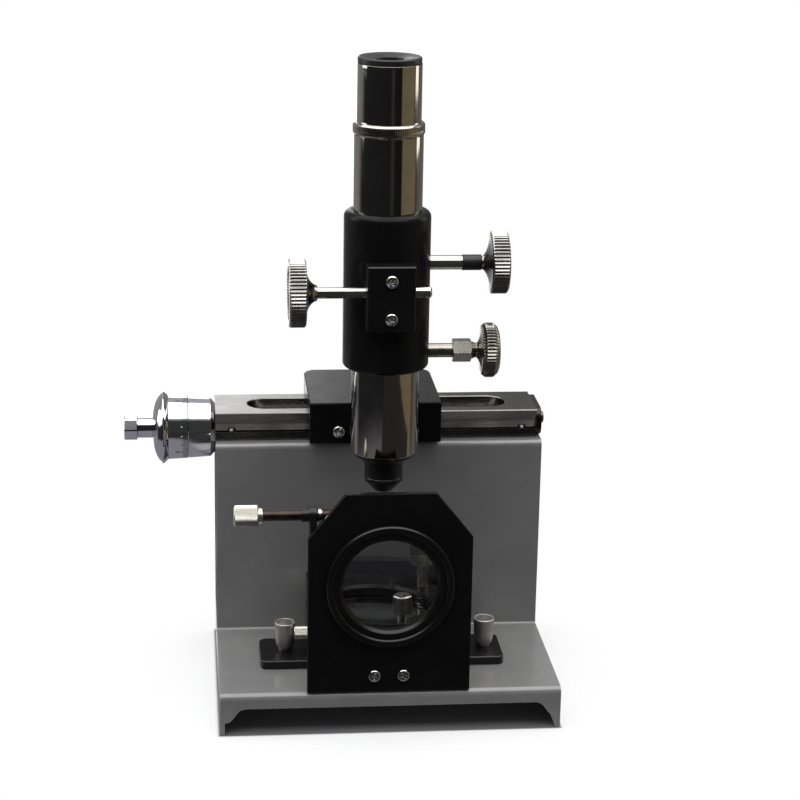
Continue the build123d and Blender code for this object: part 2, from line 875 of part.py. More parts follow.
with BuildPart() as upper_clamp_knob:
    turn(
        upper_line,
        [
            (spacer_right, spacer_bore),
            (spacer_right, 2.9),
            (40.4, 3.3),
            (41.4, 5.4),
            (42.4, 9.4),
            (43.1, 13.0),
            (43.8, 13.6),
            (50.1, 13.6),
            (50.8, 12.9),
            (50.8, 0),
            (spacer_right + socket_depth, 0),
            (spacer_right + socket_depth, spacer_bore),
        ],
    )
save(upper_clamp_knob, "upper_clamp_knob")

hex_left = 27.7
hex_right = 35.9
lower_neck = 37.9
with BuildPart() as lower_clamp_screw:
    turn(
        lower_line,
        [
            (clamp_tip, 0),
            (clamp_tip, clamp_radius),
            (hex_left, clamp_radius),
            (hex_left, spacer_bore),
            (lower_neck + socket_depth, spacer_bore),
            (lower_neck + socket_depth, 0),
        ],
    )
    with BuildSketch(Plane(origin=(hex_left, optics_y, lower_clamp_z), z_dir=(1, 0, 0))):
        RegularPolygon(4.6, 6, major_radius=False, rotation=30)
    extrude(amount=hex_right - hex_left)
    turn(
        lower_line,
        [(hex_left, 4.6), (hex_left, 6.0), (hex_left + 0.8, 6.0)],
        mode=Mode.SUBTRACT,
    )
    turn(
        lower_line,
        [(hex_right, 4.6), (hex_right, 6.0), (hex_right - 0.8, 6.0)],
        mode=Mode.SUBTRACT,
    )
    turn(
        lower_line,
        [(hex_right, 0), (hex_right, 4.0), (lower_neck, 3.2), (lower_neck, 0)],
    )
save(lower_clamp_screw, "lower_clamp_screw")

with BuildPart() as lower_clamp_knob:
    with BuildSketch(lower_line):
        with BuildLine():
            Polyline(
                (lower_neck + socket_depth, 0),
                (lower_neck + socket_depth, spacer_bore),
                (lower_neck, spacer_bore),
                (lower_neck, 3.2),
                (38.8, 4.4),
                (39.7, 7.4),
                (40.4, 10.6),
            )
            ThreePointArc((40.4, 10.6), (41.0, 11.7), (42.0, 12.0))
            Line((42.0, 12.0), (45.6, 12.0))
            ThreePointArc((45.6, 12.0), (47.2, 11.2), (48.0, 9.4))
            Polyline((48.0, 9.4), (48.0, 0), (lower_neck + socket_depth, 0))
        make_face()
    revolve(axis=Axis((0, optics_y, lower_clamp_z), (1, 0, 0)))
save(lower_clamp_knob, "lower_clamp_knob")

# ---- illuminator box on its foot bar ----
foot_bar_left = -56.3
foot_bar_right = 53.3
foot_bar_front = -33.0
foot_bar_rear = -6.0
plate_screw_points = [(optics_x - 6.35, 27.0), (optics_x + 6.35, 27.0)]
wall_screw_points = [(optics_x - 20.0, 27.0), (optics_x + 20.0, 27.0)]
clamp_y = -24.0
clamp_z = 32.6
plate_back = front_y + plate_thickness
lens_hole = 26.0

with BuildPart() as foot_bar:
    block((foot_bar_left, foot_bar_front, deck_top), (foot_bar_right, foot_bar_rear, box_bottom))
    fillet(foot_bar.edges().filter_by(Axis.Z), 3.0)
    chamfer(foot_bar.faces().sort_by(Axis.Z)[-1].edges(), 0.5)
    for x, y in stud_points:
        rod((x, y, deck_top - 1), (0, 0, 1), 2.0 + running, 8, mode=Mode.SUBTRACT)
save(foot_bar, "foot_bar")

stud_top = 31.0
with BuildPart() as foot_studs:
    for x, y in stud_points:
        rod((x, y, deck_top - sheet), (0, 0, 1), 2.0, stud_top - deck_top + sheet)
        with BuildSketch(Plane.XY.offset(deck_top - sheet - 3)):
            with Locations((x, y)):
                RegularPolygon(3.5, 6, major_radius=False)
        extrude(amount=3)
save(foot_studs, "foot_studs")

with BuildPart() as box_floor:
    block((box_left + wall, plate_back, box_bottom), (box_right - wall, box_rear - wall, floor_top))
    fillet(box_floor.edges().filter_by(Axis.Z).group_by(Axis.Y)[-1], 0.6)
    for x, z in plate_screw_points:
        rod((x, plate_back - 1, z), (0, 1, 0), 1.5, 10, mode=Mode.SUBTRACT)
    for x, z in wall_screw_points:
        rod((x, box_rear, z), (0, -1, 0), 1.5, 11, mode=Mode.SUBTRACT)
save(box_floor, "box_floor")

lug_left = -36.0
lug_right = -33.0
lug_radius = 3.9
bush_radius = 3.0
with BuildPart() as box_shell:
    with BuildSketch(Plane.XY.offset(box_bottom)):
        with BuildLine():
            FilletPolyline(
                (box_left, plate_back),
                (box_left, box_rear),
                (box_right, box_rear),
                (box_right, plate_back),
                radius=bend_outer,
            )
            offset(amount=wall, side=Side.RIGHT)
        make_face()
    extrude(amount=box_top - box_bottom)
    with BuildSketch(Plane.YZ.offset(lug_left)) as lug:
        with BuildLine():
            Polyline(
                (plate_back, box_bottom + 12),
                (plate_back, tilt_z - 8),
                (tilt_y - lug_radius, tilt_z),
                (tilt_y + lug_radius, tilt_z),
                (tilt_y + lug_radius, box_bottom + 12),
                close=True,
            )
        make_face()
        with Locations((tilt_y, tilt_z)):
            Circle(lug_radius)
    extrude(lug.sketch, amount=lug_right - lug_left)
    rod((lug_left - 1, tilt_y, tilt_z), (1, 0, 0), bush_radius, 8, mode=Mode.SUBTRACT)
    rod((box_left - 1, clamp_y, clamp_z), (1, 0, 0), 1.5 + running, wall + 2, mode=Mode.SUBTRACT)
    for x, z in wall_screw_points:
        rod((x, box_rear + 1, z), (0, -1, 0), 1.5, wall + 2, mode=Mode.SUBTRACT)
save(box_shell, "box_shell")

with BuildPart() as front_plate:
    with BuildSketch(facing_front(plate_back)):
        with BuildLine():
            Polyline(
                (plate_left, deck_top),
                (plate_right, deck_top),
                (plate_right, plate_shoulder),
                (optics_x + plate_top_half, plate_top),
                (optics_x - plate_top_half, plate_top),
                (plate_left, plate_shoulder),
                close=True,
            )
        make_face()
    extrude(amount=plate_thickness)
    chamfer(front_plate.faces().sort_by(Axis.Y)[0].edges(), 0.4)
    rod((optics_x, front_y - 1, lens_z), (0, 1, 0), lens_hole, 6, mode=Mode.SUBTRACT)
    for x, z in plate_screw_points:
        rod((x, front_y - 1, z), (0, 1, 0), 1.5, 6, mode=Mode.SUBTRACT)
save(front_plate, "front_plate")

with BuildPart() as box_screws:
    for x, z in plate_screw_points:
        pan_screw((x, front_y, z), (0, 1, 0), 1.5, 11)
    for x, z in wall_screw_points:
        pan_screw((x, box_rear, z), (0, -1, 0), 1.5, 11)
save(box_screws, "box_screws")

# ---- condenser lens in the front plate ----
lens_line = Plane(origin=(optics_x, 0, lens_z), x_dir=(0, 1, 0), z_dir=(1, 0, 0))
bezel_front = front_y - 2.6
seat_y = -54.0
lens_radius = 24.4

with BuildPart() as lens_ring:
    turn(
        lens_line,
        [
            (bezel_front, lens_radius + 0.6),
            (bezel_front, 27.2),
            (bezel_front + 0.6, 27.8),
            (front_y, 27.8),
            (front_y, lens_hole),
            (seat_y + 2, lens_hole),
            (seat_y + 2, 21.5),
            (seat_y, 21.5),
            (seat_y, lens_radius),
            (bezel_front + 0.6, lens_radius),
        ],
    )
save(lens_ring, "lens_ring")

with BuildPart() as condenser_lens:
    with BuildSketch(lens_line):
        with BuildLine():
            Line((seat_y, 0), (seat_y, lens_radius))
            Line((seat_y, lens_radius), (seat_y - 2, lens_radius))
            middle = crown_height(seat_y - 2, seat_y - 5.5, lens_radius, lens_radius / 2)
            ThreePointArc((seat_y - 2, lens_radius), (middle, lens_radius / 2), (seat_y - 5.5, 0))
            Line((seat_y - 5.5, 0), (seat_y, 0))
        make_face()
    revolve(axis=Axis((optics_x, 0, lens_z), (0, 1, 0)))
save(condenser_lens, "condenser_lens")

with BuildPart() as retaining_ring:
    turn(
        lens_line,
        [
            (bezel_front + 1.4, lens_radius),
            (seat_y - 2, lens_radius),
            (seat_y - 3.4, 23.0),
            (seat_y - 3.4, 20.7),
            (bezel_front + 2.6, 20.7),
            (bezel_front + 1.4, 21.9),
        ],
    )
save(retaining_ring, "retaining_ring")

# ---- tilting glass plate under the objective ----
tilt_line = along_x(tilt_y, tilt_z)
bush_left = -39.4
bush_right = -32.4
rod_left = -56.0
rod_right = -14.0
tilt_neck = -58.1
tilt_end = -68.4
holder_left = -23.5
holder_right = 16.0
glass_width = 32.0
glass_length = 49.0
glass_half = 0.75
glass_start = 3.0

with BuildPart() as tilt_bushing:
    turn(
        tilt_line,
        [
            (bush_left, tilt_radius + running),
            (bush_left, bush_radius),
            (bush_right, bush_radius),
            (bush_right, tilt_radius + running),
        ],
    )
save(tilt_bushing, "tilt_bushing")

with BuildPart() as tilt_rod:
    turn(
        tilt_line,
        [
            (rod_left - 5, 0),
            (rod_left - 5, 1.6),
            (rod_left, 1.6),
            (rod_left, tilt_radius),
            (bush_right + 0.1, tilt_radius),
            (bush_right + 0.1, 2.9),
            (bush_right + 1.8, 2.9),
            (bush_right + 1.8, tilt_radius),
            (rod_right, tilt_radius),
            (rod_right, 0),
        ],
    )
save(tilt_rod, "tilt_rod")

with BuildPart() as tilt_knob:
    turn(
        tilt_line,
        [
            (tilt_end, 0),
            (tilt_end, 4.2),
            (tilt_end + 0.5, 4.65),
            (tilt_neck - 0.5, 4.65),
            (tilt_neck, 4.2),
            (tilt_neck, 3.5),
            (rod_left, 3.5),
            (rod_left, 1.6),
            (rod_left - 5, 1.6),
            (rod_left - 5, 0),
        ],
    )
save(tilt_knob, "tilt_knob")

# local x runs down the glass towards the back, local y away from it, up and back
slope_plane = Plane(origin=(holder_left, tilt_y, tilt_z), x_dir=(0, 1, -1), z_dir=(1, 0, 0))
glass_plane = Plane(
    origin=(optics_x - glass_width / 2, tilt_y, tilt_z), x_dir=(0, 1, -1), z_dir=(1, 0, 0)
)

with BuildPart() as glass_holder:
    with BuildSketch(slope_plane):
        with Locations((1.5, 0)):
            RectangleRounded(10.0, 6.4, 1.5)
    extrude(amount=holder_right - holder_left)
    with BuildSketch(glass_plane):
        with Locations((glass_start + 10, 0)):
            Rectangle(20.0, 2 * glass_half)
    extrude(amount=glass_width, mode=Mode.SUBTRACT)
    rod((rod_right, tilt_y, tilt_z), (-1, 0, 0), tilt_radius, 20, mode=Mode.SUBTRACT)
save(glass_holder, "glass_holder")

with BuildPart() as inclined_glass:
    with BuildSketch(glass_plane):
        with Locations((glass_start + glass_length / 2, 0)):
            Rectangle(glass_length, 2 * glass_half)
    extrude(amount=glass_width)
save(inclined_glass, "inclined_glass")

# ---- Newton's-rings cell under the glass ----
cell_line = along_z(optics_x, optics_y)
glass_radius = 19.0
cell_base_top = 36.0
flat_bottom = 33.0
flat_top = 39.0
lens_top = 44.3
ring_bottom = 44.4
ring_thickness = 2.6
stem_radius = 1.75
cell_screws = {"front": (-73.0, 58.2), "rear": (47.0, 62.3), "left": (167.0, 60.2)}


def cell_point(angle):
    """A point on the cell's screw circle, as (x, y)."""
    turned = math.radians(angle)
    x = optics_x + cell_screw_circle * math.cos(turned)
    return (x, optics_y + cell_screw_circle * math.sin(turned))


with BuildPart() as cell_base:
    turn(
        cell_line,
        [
            (floor_top, 0),
            (floor_top, cell_radius),
            (cell_base_top - 0.5, cell_radius),
            (cell_base_top, cell_radius - 0.5),
            (cell_base_top, glass_radius + 0.1),
            (flat_bottom, glass_radius + 0.1),
            (flat_bottom, 0),
        ],
    )
    for angle, top in cell_screws.values():
        x, y = cell_point(angle)
        rod((x, y, floor_top + 1), (0, 0, 1), stem_radius + running, 10, mode=Mode.SUBTRACT)
save(cell_base, "cell_base")

with BuildPart() as flat_glass:
    with BuildSketch(Plane.XY.offset(flat_bottom)):
        with Locations((optics_x, optics_y)):
            Circle(glass_radius)
    extrude(amount=flat_top - flat_bottom)
save(flat_glass, "flat_glass")

with BuildPart() as curved_lens:
    with BuildSketch(cell_line):
        with BuildLine():
            Line((lens_top, 0), (lens_top, glass_radius))
            Line((lens_top, glass_radius), (flat_top + 0.6, glass_radius))
            middle = crown_height(flat_top + 0.6, flat_top, glass_radius, glass_radius / 2)
            ThreePointArc((flat_top + 0.6, glass_radius), (middle, glass_radius / 2), (flat_top, 0))
            Line((flat_top, 0), (lens_top, 0))
        make_face()
    revolve(axis=Axis((optics_x, optics_y, 0), (0, 0, 1)))
save(curved_lens, "curved_lens")

with BuildPart() as cell_ring:
    turn(
        cell_line,
        [
            (lens_top, 17.5),
            (lens_top, cell_radius),
            (ring_bottom + ring_thickness - 0.4, cell_radius),
            (ring_bottom + ring_thickness, cell_radius - 0.4),
            (ring_bottom + ring_thickness, 18.3),
            (ring_bottom + ring_thickness - 0.8, 17.5),
        ],
    )
    for angle, top in cell_screws.values():
        x, y = cell_point(angle)
        rod((x, y, lens_top - 1), (0, 0, 1), stem_radius + running, 6, mode=Mode.SUBTRACT)
save(cell_ring, "cell_ring")

head_radius = 3.7
head_height = 8.0
for side, (angle, top) in cell_screws.items():
    x, y = cell_point(angle)
    with BuildPart() as cell_screw:
        turn(
            along_z(x, y),
            [
                (floor_top + 1.2, 0),
                (floor_top + 1.2, stem_radius),
                (top - head_height, stem_radius),
                (top - head_height, head_radius - 0.4),
                (top - head_height + 0.4, head_radius),
                (top - 0.5, head_radius),
                (top, head_radius - 0.5),
                (top, 0),
            ],
        )
    save(cell_screw, f"{side}_cell_screw")

with BuildPart() as cell_clamp_screw:
    turn(
        along_x(clamp_y, clamp_z),
        [
            (-41.1, 0),
            (-41.1, 2.35),
            (-40.7, 2.75),
            (box_left - 0.7, 2.75),
            (box_left - 0.3, 2.35),
            (box_left - 0.3, 1.5),
            (-28.4, 1.5),
            (-28.4, 0),
        ],
    )
save(cell_clamp_screw, "cell_clamp_screw")

# ---- thumb nuts that hold the foot bar down ----
nut_top = 36.1
for side, x in (("left", stud_left), ("right", stud_right)):
    with BuildPart() as thumb_nut:
        turn(
            along_z(x, stud_y),
            [
                (box_bottom, 2.0 + running),
                (box_bottom, 2.9),
                (box_bottom + 1.2, 2.9),
                (box_bottom + 2.0, 3.9),
                (box_bottom + 4.0, 4.3),
                (nut_top - 0.3, 4.75),
                (nut_top, 4.45),
                (nut_top, 3.8),
                (nut_top - 5.2, 3.4),
                (nut_top - 6.0, 2.0 + running),
            ],
        )
    save(thumb_nut, f"{side}_thumb_nut")
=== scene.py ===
import json
import math

import bmesh
import bpy
from mathutils import Matrix, Vector


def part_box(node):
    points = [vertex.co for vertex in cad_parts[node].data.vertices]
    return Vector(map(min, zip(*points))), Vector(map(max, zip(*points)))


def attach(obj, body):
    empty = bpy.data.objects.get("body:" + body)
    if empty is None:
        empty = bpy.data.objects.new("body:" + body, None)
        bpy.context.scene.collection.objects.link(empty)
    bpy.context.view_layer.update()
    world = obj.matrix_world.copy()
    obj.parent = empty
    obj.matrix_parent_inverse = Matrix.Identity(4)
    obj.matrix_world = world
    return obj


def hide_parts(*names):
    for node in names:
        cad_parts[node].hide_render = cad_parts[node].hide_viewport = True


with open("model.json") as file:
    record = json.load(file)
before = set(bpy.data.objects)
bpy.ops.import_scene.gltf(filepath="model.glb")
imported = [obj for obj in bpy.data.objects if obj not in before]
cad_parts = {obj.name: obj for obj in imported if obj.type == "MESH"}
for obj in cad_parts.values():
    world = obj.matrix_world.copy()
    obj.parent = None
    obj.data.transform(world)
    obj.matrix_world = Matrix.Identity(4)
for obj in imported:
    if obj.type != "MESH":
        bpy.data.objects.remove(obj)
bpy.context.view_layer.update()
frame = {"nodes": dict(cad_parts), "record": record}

MM = 0.001
X, Y, Z = Vector((1, 0, 0)), Vector((0, 1, 0)), Vector((0, 0, 1))
BODY_OF = {n: b for b, ns in frame["record"]["behaviour"]["bodies"].items() for n in ns}
SLOT_OF = {s["node"]: s["material_slot"] for s in frame["record"]["subparts"]}


# ---------------------------------------------------------------- places from the frame
def box_mm(node):
    """Lowest and highest corner of a CAD node, in millimetres."""
    low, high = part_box(node)
    return low / MM, high / MM


def middle(node):
    low, high = box_mm(node)
    return (low + high) / 2


def islands(node):
    """The vertices of each separate solid in a CAD node, in millimetres."""
    bm = bmesh.new()
    bm.from_mesh(frame["nodes"][node].data)
    bmesh.ops.remove_doubles(bm, verts=bm.verts, dist=1e-6)
    seen, groups = set(), []
    for first in bm.verts:
        if first in seen:
            continue
        seen.add(first)
        stack, group = [first], []
        while stack:
            v = stack.pop()
            group.append(v.co / MM)
            for e in v.link_edges:
                other = e.other_vert(v)
                if other not in seen:
                    seen.add(other)
                    stack.append(other)
        groups.append(group)
    bm.free()
    return groups


# ---------------------------------------------------------------- material nodes
class Look:
    """A Principled material being wired up, in object space, with its lengths in millimetres."""

    def __init__(self, name, colour, roughness, metallic=0.0, **uniform):
        self.material = bpy.data.materials.new(name)
        self.material.use_nodes = True
        self.tree = self.material.node_tree
        self.tree.nodes.clear()
        self.shader = self.tree.nodes.new("ShaderNodeBsdfPrincipled")
        output = self.tree.nodes.new("ShaderNodeOutputMaterial")
        self.tree.links.new(self.shader.outputs[0], output.inputs[0])
        self.shader.inputs["Base Color"].default_value = (*colour, 1)
        self.shader.inputs["Roughness"].default_value = roughness
        self.shader.inputs["Metallic"].default_value = metallic
        for key, value in uniform.items():
            self.shader.inputs[key.replace("_", " ")].default_value = value
        self.material.diffuse_color = (*colour, 1)
        self.place = self.node("ShaderNodeTexCoord").outputs["Object"]

    def node(self, kind, settings=None, **sockets):
        made = self.tree.nodes.new(kind)
        for key, value in (settings or {}).items():
            setattr(made, key, value)
        for key, value in sockets.items():
            self.feed(made.inputs[key.replace("_", " ")], value)
        return made

    def feed(self, socket, value):
        if isinstance(value, bpy.types.NodeSocket):
            self.tree.links.new(value, socket)
        elif isinstance(value, tuple) and len(value) == 3 and socket.type == "RGBA":
            socket.default_value = (*value, 1)
        else:
            socket.default_value = value

    def calc(self, operation, a, b=0.0, c=0.0, clamp=False):
        made = self.tree.nodes.new("ShaderNodeMath")
        made.operation = operation
        made.use_clamp = clamp
        for socket, value in zip(made.inputs, (a, b, c)):
            self.feed(socket, value)
        return made.outputs[0]

    def stretched(self, scale, place=None):
        """Object coordinates in millimetres, scaled along each axis."""
        settings = {"vector_type": "POINT"}
        made = self.node("ShaderNodeMapping", settings, Vector=place or self.place)
        made.inputs["Scale"].default_value = tuple(s / MM for s in scale)
        return made.outputs[0]

    def noise(self, size, detail=4.0, rough=0.5, stretch=(1, 1, 1), seed=0.0):
        """Cloudy noise from 0 to 1 whose blobs are about size millimetres across."""
        place = self.stretched([s / size for s in stretch])
        if seed:
            place = self.node("ShaderNodeVectorMath", {"operation": "ADD"}).outputs[0]
            shift = place.node
            self.feed(shift.inputs[0], self.stretched([s / size for s in stretch]))
            shift.inputs[1].default_value = (seed, seed * 1.7, seed * 0.6)
        made = self.node(
            "ShaderNodeTexNoise", None, Vector=place, Scale=1.0, Detail=detail, Roughness=rough
        )
        return made.outputs[0]

    def between(self, value, low, high, to_low=0.0, to_high=1.0):
        made = self.node("ShaderNodeMapRange", {"interpolation_type": "SMOOTHSTEP"}, Value=value)
        for key, number in zip(("From Min", "From Max", "To Min", "To Max"), (low, high, to_low, to_high)):
            self.feed(made.inputs[key], number)
        return made.outputs[0]

    def blend(self, share, first, second):
        made = self.node("ShaderNodeMix", {"data_type": "RGBA"})
        self.feed(made.inputs[0], share)
        self.feed(made.inputs[6], first)
        self.feed(made.inputs[7], second)
        return made.outputs[2]

    def edges(self, radius, strength=6.0):
        """1 on convex and concave edges within a radius in millimetres, 0 on open surface."""
        bevel = self.node("ShaderNodeBevel", {"samples": 6}, Radius=radius * MM)
        true = self.node("ShaderNodeNewGeometry").outputs["Normal"]
        dot = self.node("ShaderNodeVectorMath", {"operation": "DOT_PRODUCT"})
        self.feed(dot.inputs[0], bevel.outputs[0])
        self.feed(dot.inputs[1], true)
        return self.calc("MULTIPLY", self.calc("SUBTRACT", 1.0, dot.outputs["Value"]), strength, clamp=True)

    def hollows(self, distance):
        """1 in the open, towards 0 deep in grooves and corners."""
        made = self.node("ShaderNodeAmbientOcclusion", {"samples": 6}, Distance=distance * MM)
        return made.outputs["AO"]

    def bump(self, height, depth, under=None):
        """Adds a bump whose full height is depth millimetres."""
        made = self.node("ShaderNodeBump", None, Height=height, Strength=1.0, Distance=depth * MM)
        if under is not None:
            self.feed(made.inputs["Normal"], under)
        self.feed(self.shader.inputs["Normal"], made.outputs[0])
        return made.outputs[0]

    def set(self, key, value):
        self.feed(self.shader.inputs[key], value)


LOOKS = {}


def keep(name, look):
    LOOKS[name] = look.material
    return look.material


def painted(name, dark, light, roughness, peel, gloss, chip_and_highlight_colour, chip_and_highlight_share):
    """Sprayed and baked paint: cloudy tone, orange peel, dust, and worn edges; a pale edge colour turns the
    same edge mask into a painted highlight.
    """
    look = Look(name, dark, roughness, Specular_IOR_Level=gloss)
    cloud = look.noise(26, 5, 0.6)
    fine = look.noise(1.1, 3, 0.6, seed=3.1)
    tone = look.blend(look.between(cloud, 0.3, 0.7), dark, light)
    dust = look.between(fine, 0.62, 0.80, 0.0, 0.10)
    tone = look.blend(dust, tone, tuple(c * 1.8 for c in light))
    # edge mask: chipped wear on the black paints, and a painted highlight line along the bends of the grey
    # paint
    worn_and_highlit_edges = look.edges(0.30)
    ragged = look.calc("MULTIPLY", worn_and_highlit_edges, look.between(look.noise(0.9, 4, 0.7, seed=7.7), 0.40, 0.62))
    chips_and_highlight = look.calc("MULTIPLY", ragged, chip_and_highlight_share, clamp=True)
    look.set("Base Color", look.blend(chips_and_highlight, tone, chip_and_highlight_colour))
    smear = look.between(look.noise(14, 6, 0.65, seed=1.3), 0.3, 0.75, roughness - 0.03, roughness + 0.06)
    look.set("Roughness", smear)
    under = look.bump(look.noise(peel, 2, 0.5, seed=5.0), 0.0035)
    look.bump(look.noise(0.22, 2, 0.5, seed=9.0), 0.0004, under)
    return keep(name, look)


# the pale edge colour at a high share paints a bright highlight along the base's bends
painted("grey_paint", (0.215, 0.213, 0.212), (0.245, 0.242, 0.238), 0.20, 1.5, 1.0, (0.62, 0.61, 0.60), 0.70)
CHIPPED = (0.05, 0.048, 0.046)
painted("black_enamel", (0.0040, 0.0040, 0.0044), (0.0066, 0.0064, 0.0065), 0.30, 1.3, 0.48, CHIPPED, 0.25)
painted("black_matt", (0.0058, 0.0057, 0.0062), (0.0078, 0.0076, 0.0078), 0.27, 1.0, 0.14, CHIPPED, 0.25)


def ground_steel(name, colour, pale, roughness, along):
    """Ground or drawn metal: long fine scratches along one axis and a broken oil film."""
    look = Look(name, colour, roughness, metallic=1.0)
    stretch = [1.0, 1.0, 1.0]
    stretch[along] = 0.02
    lines = look.noise(0.22, 3, 0.6, stretch)
    film = look.noise(20, 5, 0.6, seed=2.2)
    tone = look.blend(look.between(film, 0.35, 0.68), colour, pale)
    tone = look.blend(look.between(lines, 0.45, 0.85, 0.0, 0.35), tone, tuple(c * 0.55 for c in colour))
    bright = look.calc("MULTIPLY", look.edges(0.25), 0.6, clamp=True)
    look.set("Base Color", look.blend(bright, tone, tuple(min(1.0, c * 2.2) for c in pale)))
    look.set("Roughness", look.between(lines, 0.3, 0.8, roughness - 0.06, roughness + 0.10))
    look.bump(lines, 0.004)
    return keep(name, look)


ground_steel("blackened_steel", (0.155, 0.152, 0.148), (0.215, 0.21, 0.20), 0.22, 0)
ground_steel("brass", (0.62, 0.44, 0.20), (0.74, 0.56, 0.30), 0.26, 2)


def plated(name, colour, pale, roughness, lines, smear, shade_from=0.35, shade_full=0.85):
    """Plate over a turned surface: fine rings, handling marks, and painted shade darkening the grooves."""
    look = Look(name, colour, roughness, metallic=1.0)
    marks = look.noise(9, 6, 0.7, seed=4.4)
    fine = look.noise(0.5, 3, 0.6, seed=8.0)
    tone = look.blend(look.between(marks, 0.35, 0.7), colour, pale)
    # painted shade: the colour darkens towards an eighth of the plate where ambient occlusion finds grooves
    # and corners
    groove_shade = look.between(look.hollows(0.7), shade_from, shade_full)
    look.set("Base Color", look.blend(groove_shade, tuple(c * 0.12 for c in colour), tone))
    worn = look.between(marks, 0.35, 0.75, roughness, roughness + smear)
    speck = look.between(fine, 0.60, 0.80, 0.0, smear)
    look.set("Roughness", look.calc("ADD", worn, speck))
    look.bump(look.noise(0.16, 2, 0.5, lines, seed=6.0), 0.0010)
    return keep(name, look)


plated("dark_chrome", (0.50, 0.475, 0.43), (0.58, 0.55, 0.50), 0.055, (1, 1, 0.03), 0.05)
plated("satin_chrome", (0.78, 0.78, 0.81), (0.86, 0.86, 0.88), 0.075, (6, 0.4, 0.4), 0.05)
plated("polished_steel", (0.70, 0.69, 0.65), (0.80, 0.79, 0.75), 0.10, (6, 0.3, 0.3), 0.07)
plated("knurled_steel", (0.40, 0.392, 0.372), (0.50, 0.492, 0.465), 0.20, (1, 1, 1), 0.10, 0.15, 0.55)
plated("aged_nickel", (0.34, 0.325, 0.285), (0.43, 0.412, 0.362), 0.22, (1, 1, 1), 0.10, 0.15, 0.55)
plated("screw_steel", (0.74, 0.74, 0.72), (0.86, 0.86, 0.84), 0.17, (1, 1, 1), 0.10)
plated("nickel", (0.78, 0.755, 0.67), (0.86, 0.84, 0.76), 0.26, (1, 1, 1), 0.10)
plated("grey_aluminium", (0.60, 0.575, 0.555), (0.74, 0.71, 0.69), 0.42, (0.3, 0.3, 7), 0.12)
plated("browned_steel", (0.052, 0.040, 0.034), (0.080, 0.060, 0.050), 0.34, (5, 0.3, 0.3), 0.12)


def moulded(name, dark, light, roughness):
    look = Look(name, dark, roughness)
    tone = look.blend(look.between(look.noise(6, 4, 0.6), 0.35, 0.7), dark, light)
    rub = look.calc("MULTIPLY", look.edges(0.3), 0.3, clamp=True)
    look.set("Base Color", look.blend(rub, tone, (0.09, 0.09, 0.09)))
    smear = look.noise(3, 5, 0.6, seed=2.0)
    look.set("Roughness", look.between(smear, 0.3, 0.7, roughness - 0.05, roughness + 0.12))
    look.bump(look.noise(0.25, 2, 0.5, seed=5.0), 0.006)
    return keep(name, look)


moulded("black_plastic", (0.010, 0.010, 0.010), (0.018, 0.018, 0.017), 0.36)
moulded("ink", (0.012, 0.012, 0.014), (0.022, 0.022, 0.024), 0.60)


def glass(name, colour):
    look = Look(name, colour, 0.0, IOR=1.517, Transmission_Weight=1.0)
    wipe = look.noise(7, 6, 0.65, (1, 0.4, 1), seed=3.0)
    look.set("Roughness", look.between(wipe, 0.55, 0.85, 0.0, 0.008))
    return keep(name, look)


glass("optical_glass", (0.965, 0.985, 0.975))
glass("coated_glass", (0.66, 0.65, 0.66))
moulded("ground_glass", (0.030, 0.036, 0.033), (0.055, 0.062, 0.058), 0.55)


# nodes whose look differs from their slot's
FINISH = {
    "front_plate": "black_matt", "sleeve": "black_matt", "cell_ring": "black_matt", "carriage": "black_matt",
    "rail_screws": "blackened_steel", "lower_clamp_screw": "aged_nickel",
}


# ---------------------------------------------------------------- mesh code
def piece(name, verts, faces, nodes, look=None, crease=32.0, looks=None, face_look=None):
    """A mesh in millimetres that stands for CAD nodes, rides on their body and takes their slot."""
    mesh = bpy.data.meshes.new(name)
    mesh.from_pydata([tuple(c * MM for c in v) for v in verts], [], faces)
    bm = bmesh.new()
    bm.from_mesh(mesh)
    bmesh.ops.recalc_face_normals(bm, faces=bm.faces)
    bm.to_mesh(mesh)
    bm.free()
    mesh.shade_smooth()
    mesh.set_sharp_from_angle(angle=math.radians(crease))
    obj = bpy.data.objects.new(name, mesh)
    bpy.context.scene.collection.objects.link(obj)
    slot = SLOT_OF[nodes[0]]
    for material in looks or [look or FINISH.get(nodes[0], slot)]:
        mesh.materials.append(LOOKS[material])
    if face_look:
        for polygon in mesh.polygons:
            polygon.material_index = face_look(polygon)
    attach(obj, BODY_OF[nodes[0]])
    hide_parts(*nodes)
    return obj


def rounded(points, steps=4, closed=True):
    """An outline whose corners (along, radius, fillet) are turned into small arcs."""
    out, count = [], len(points)
    for i, p in enumerate(points):
        fillet = p[2] if len(p) > 2 else 0
        if not fillet or (not closed and i in (0, count - 1)):
            out.append(tuple(p[:2]))
            continue
        here = Vector(p[:2])
        before = Vector(points[i - 1][:2]) - here
        after = Vector(points[(i + 1) % count][:2]) - here
        half = before.angle(after) / 2
        cut = min(fillet / math.tan(half), before.length * 0.48, after.length * 0.48)
        start, end = here + before.normalized() * cut, here + after.normalized() * cut
        for s in range(steps + 1):
            f = s / steps
            q = start * (1 - f) ** 2 + here * 2 * f * (1 - f) + end * f**2
            out.append((q.x, q.y))
    return out


def bridged(pairs, sides):
    """The faces between pairs of rings of vertices, where a ring of one vertex is a point."""
    faces = []
    for a, b in pairs:
        if len(a) == 1 and len(b) == 1:
            continue
        for s in range(sides):
            n = (s + 1) % sides
            if len(a) == 1:
                faces.append((a[0], b[s], b[n]))
            elif len(b) == 1:
                faces.append((a[s], a[n], b[0]))
            else:
                faces.append((a[s], a[n], b[n], b[s]))
    return faces


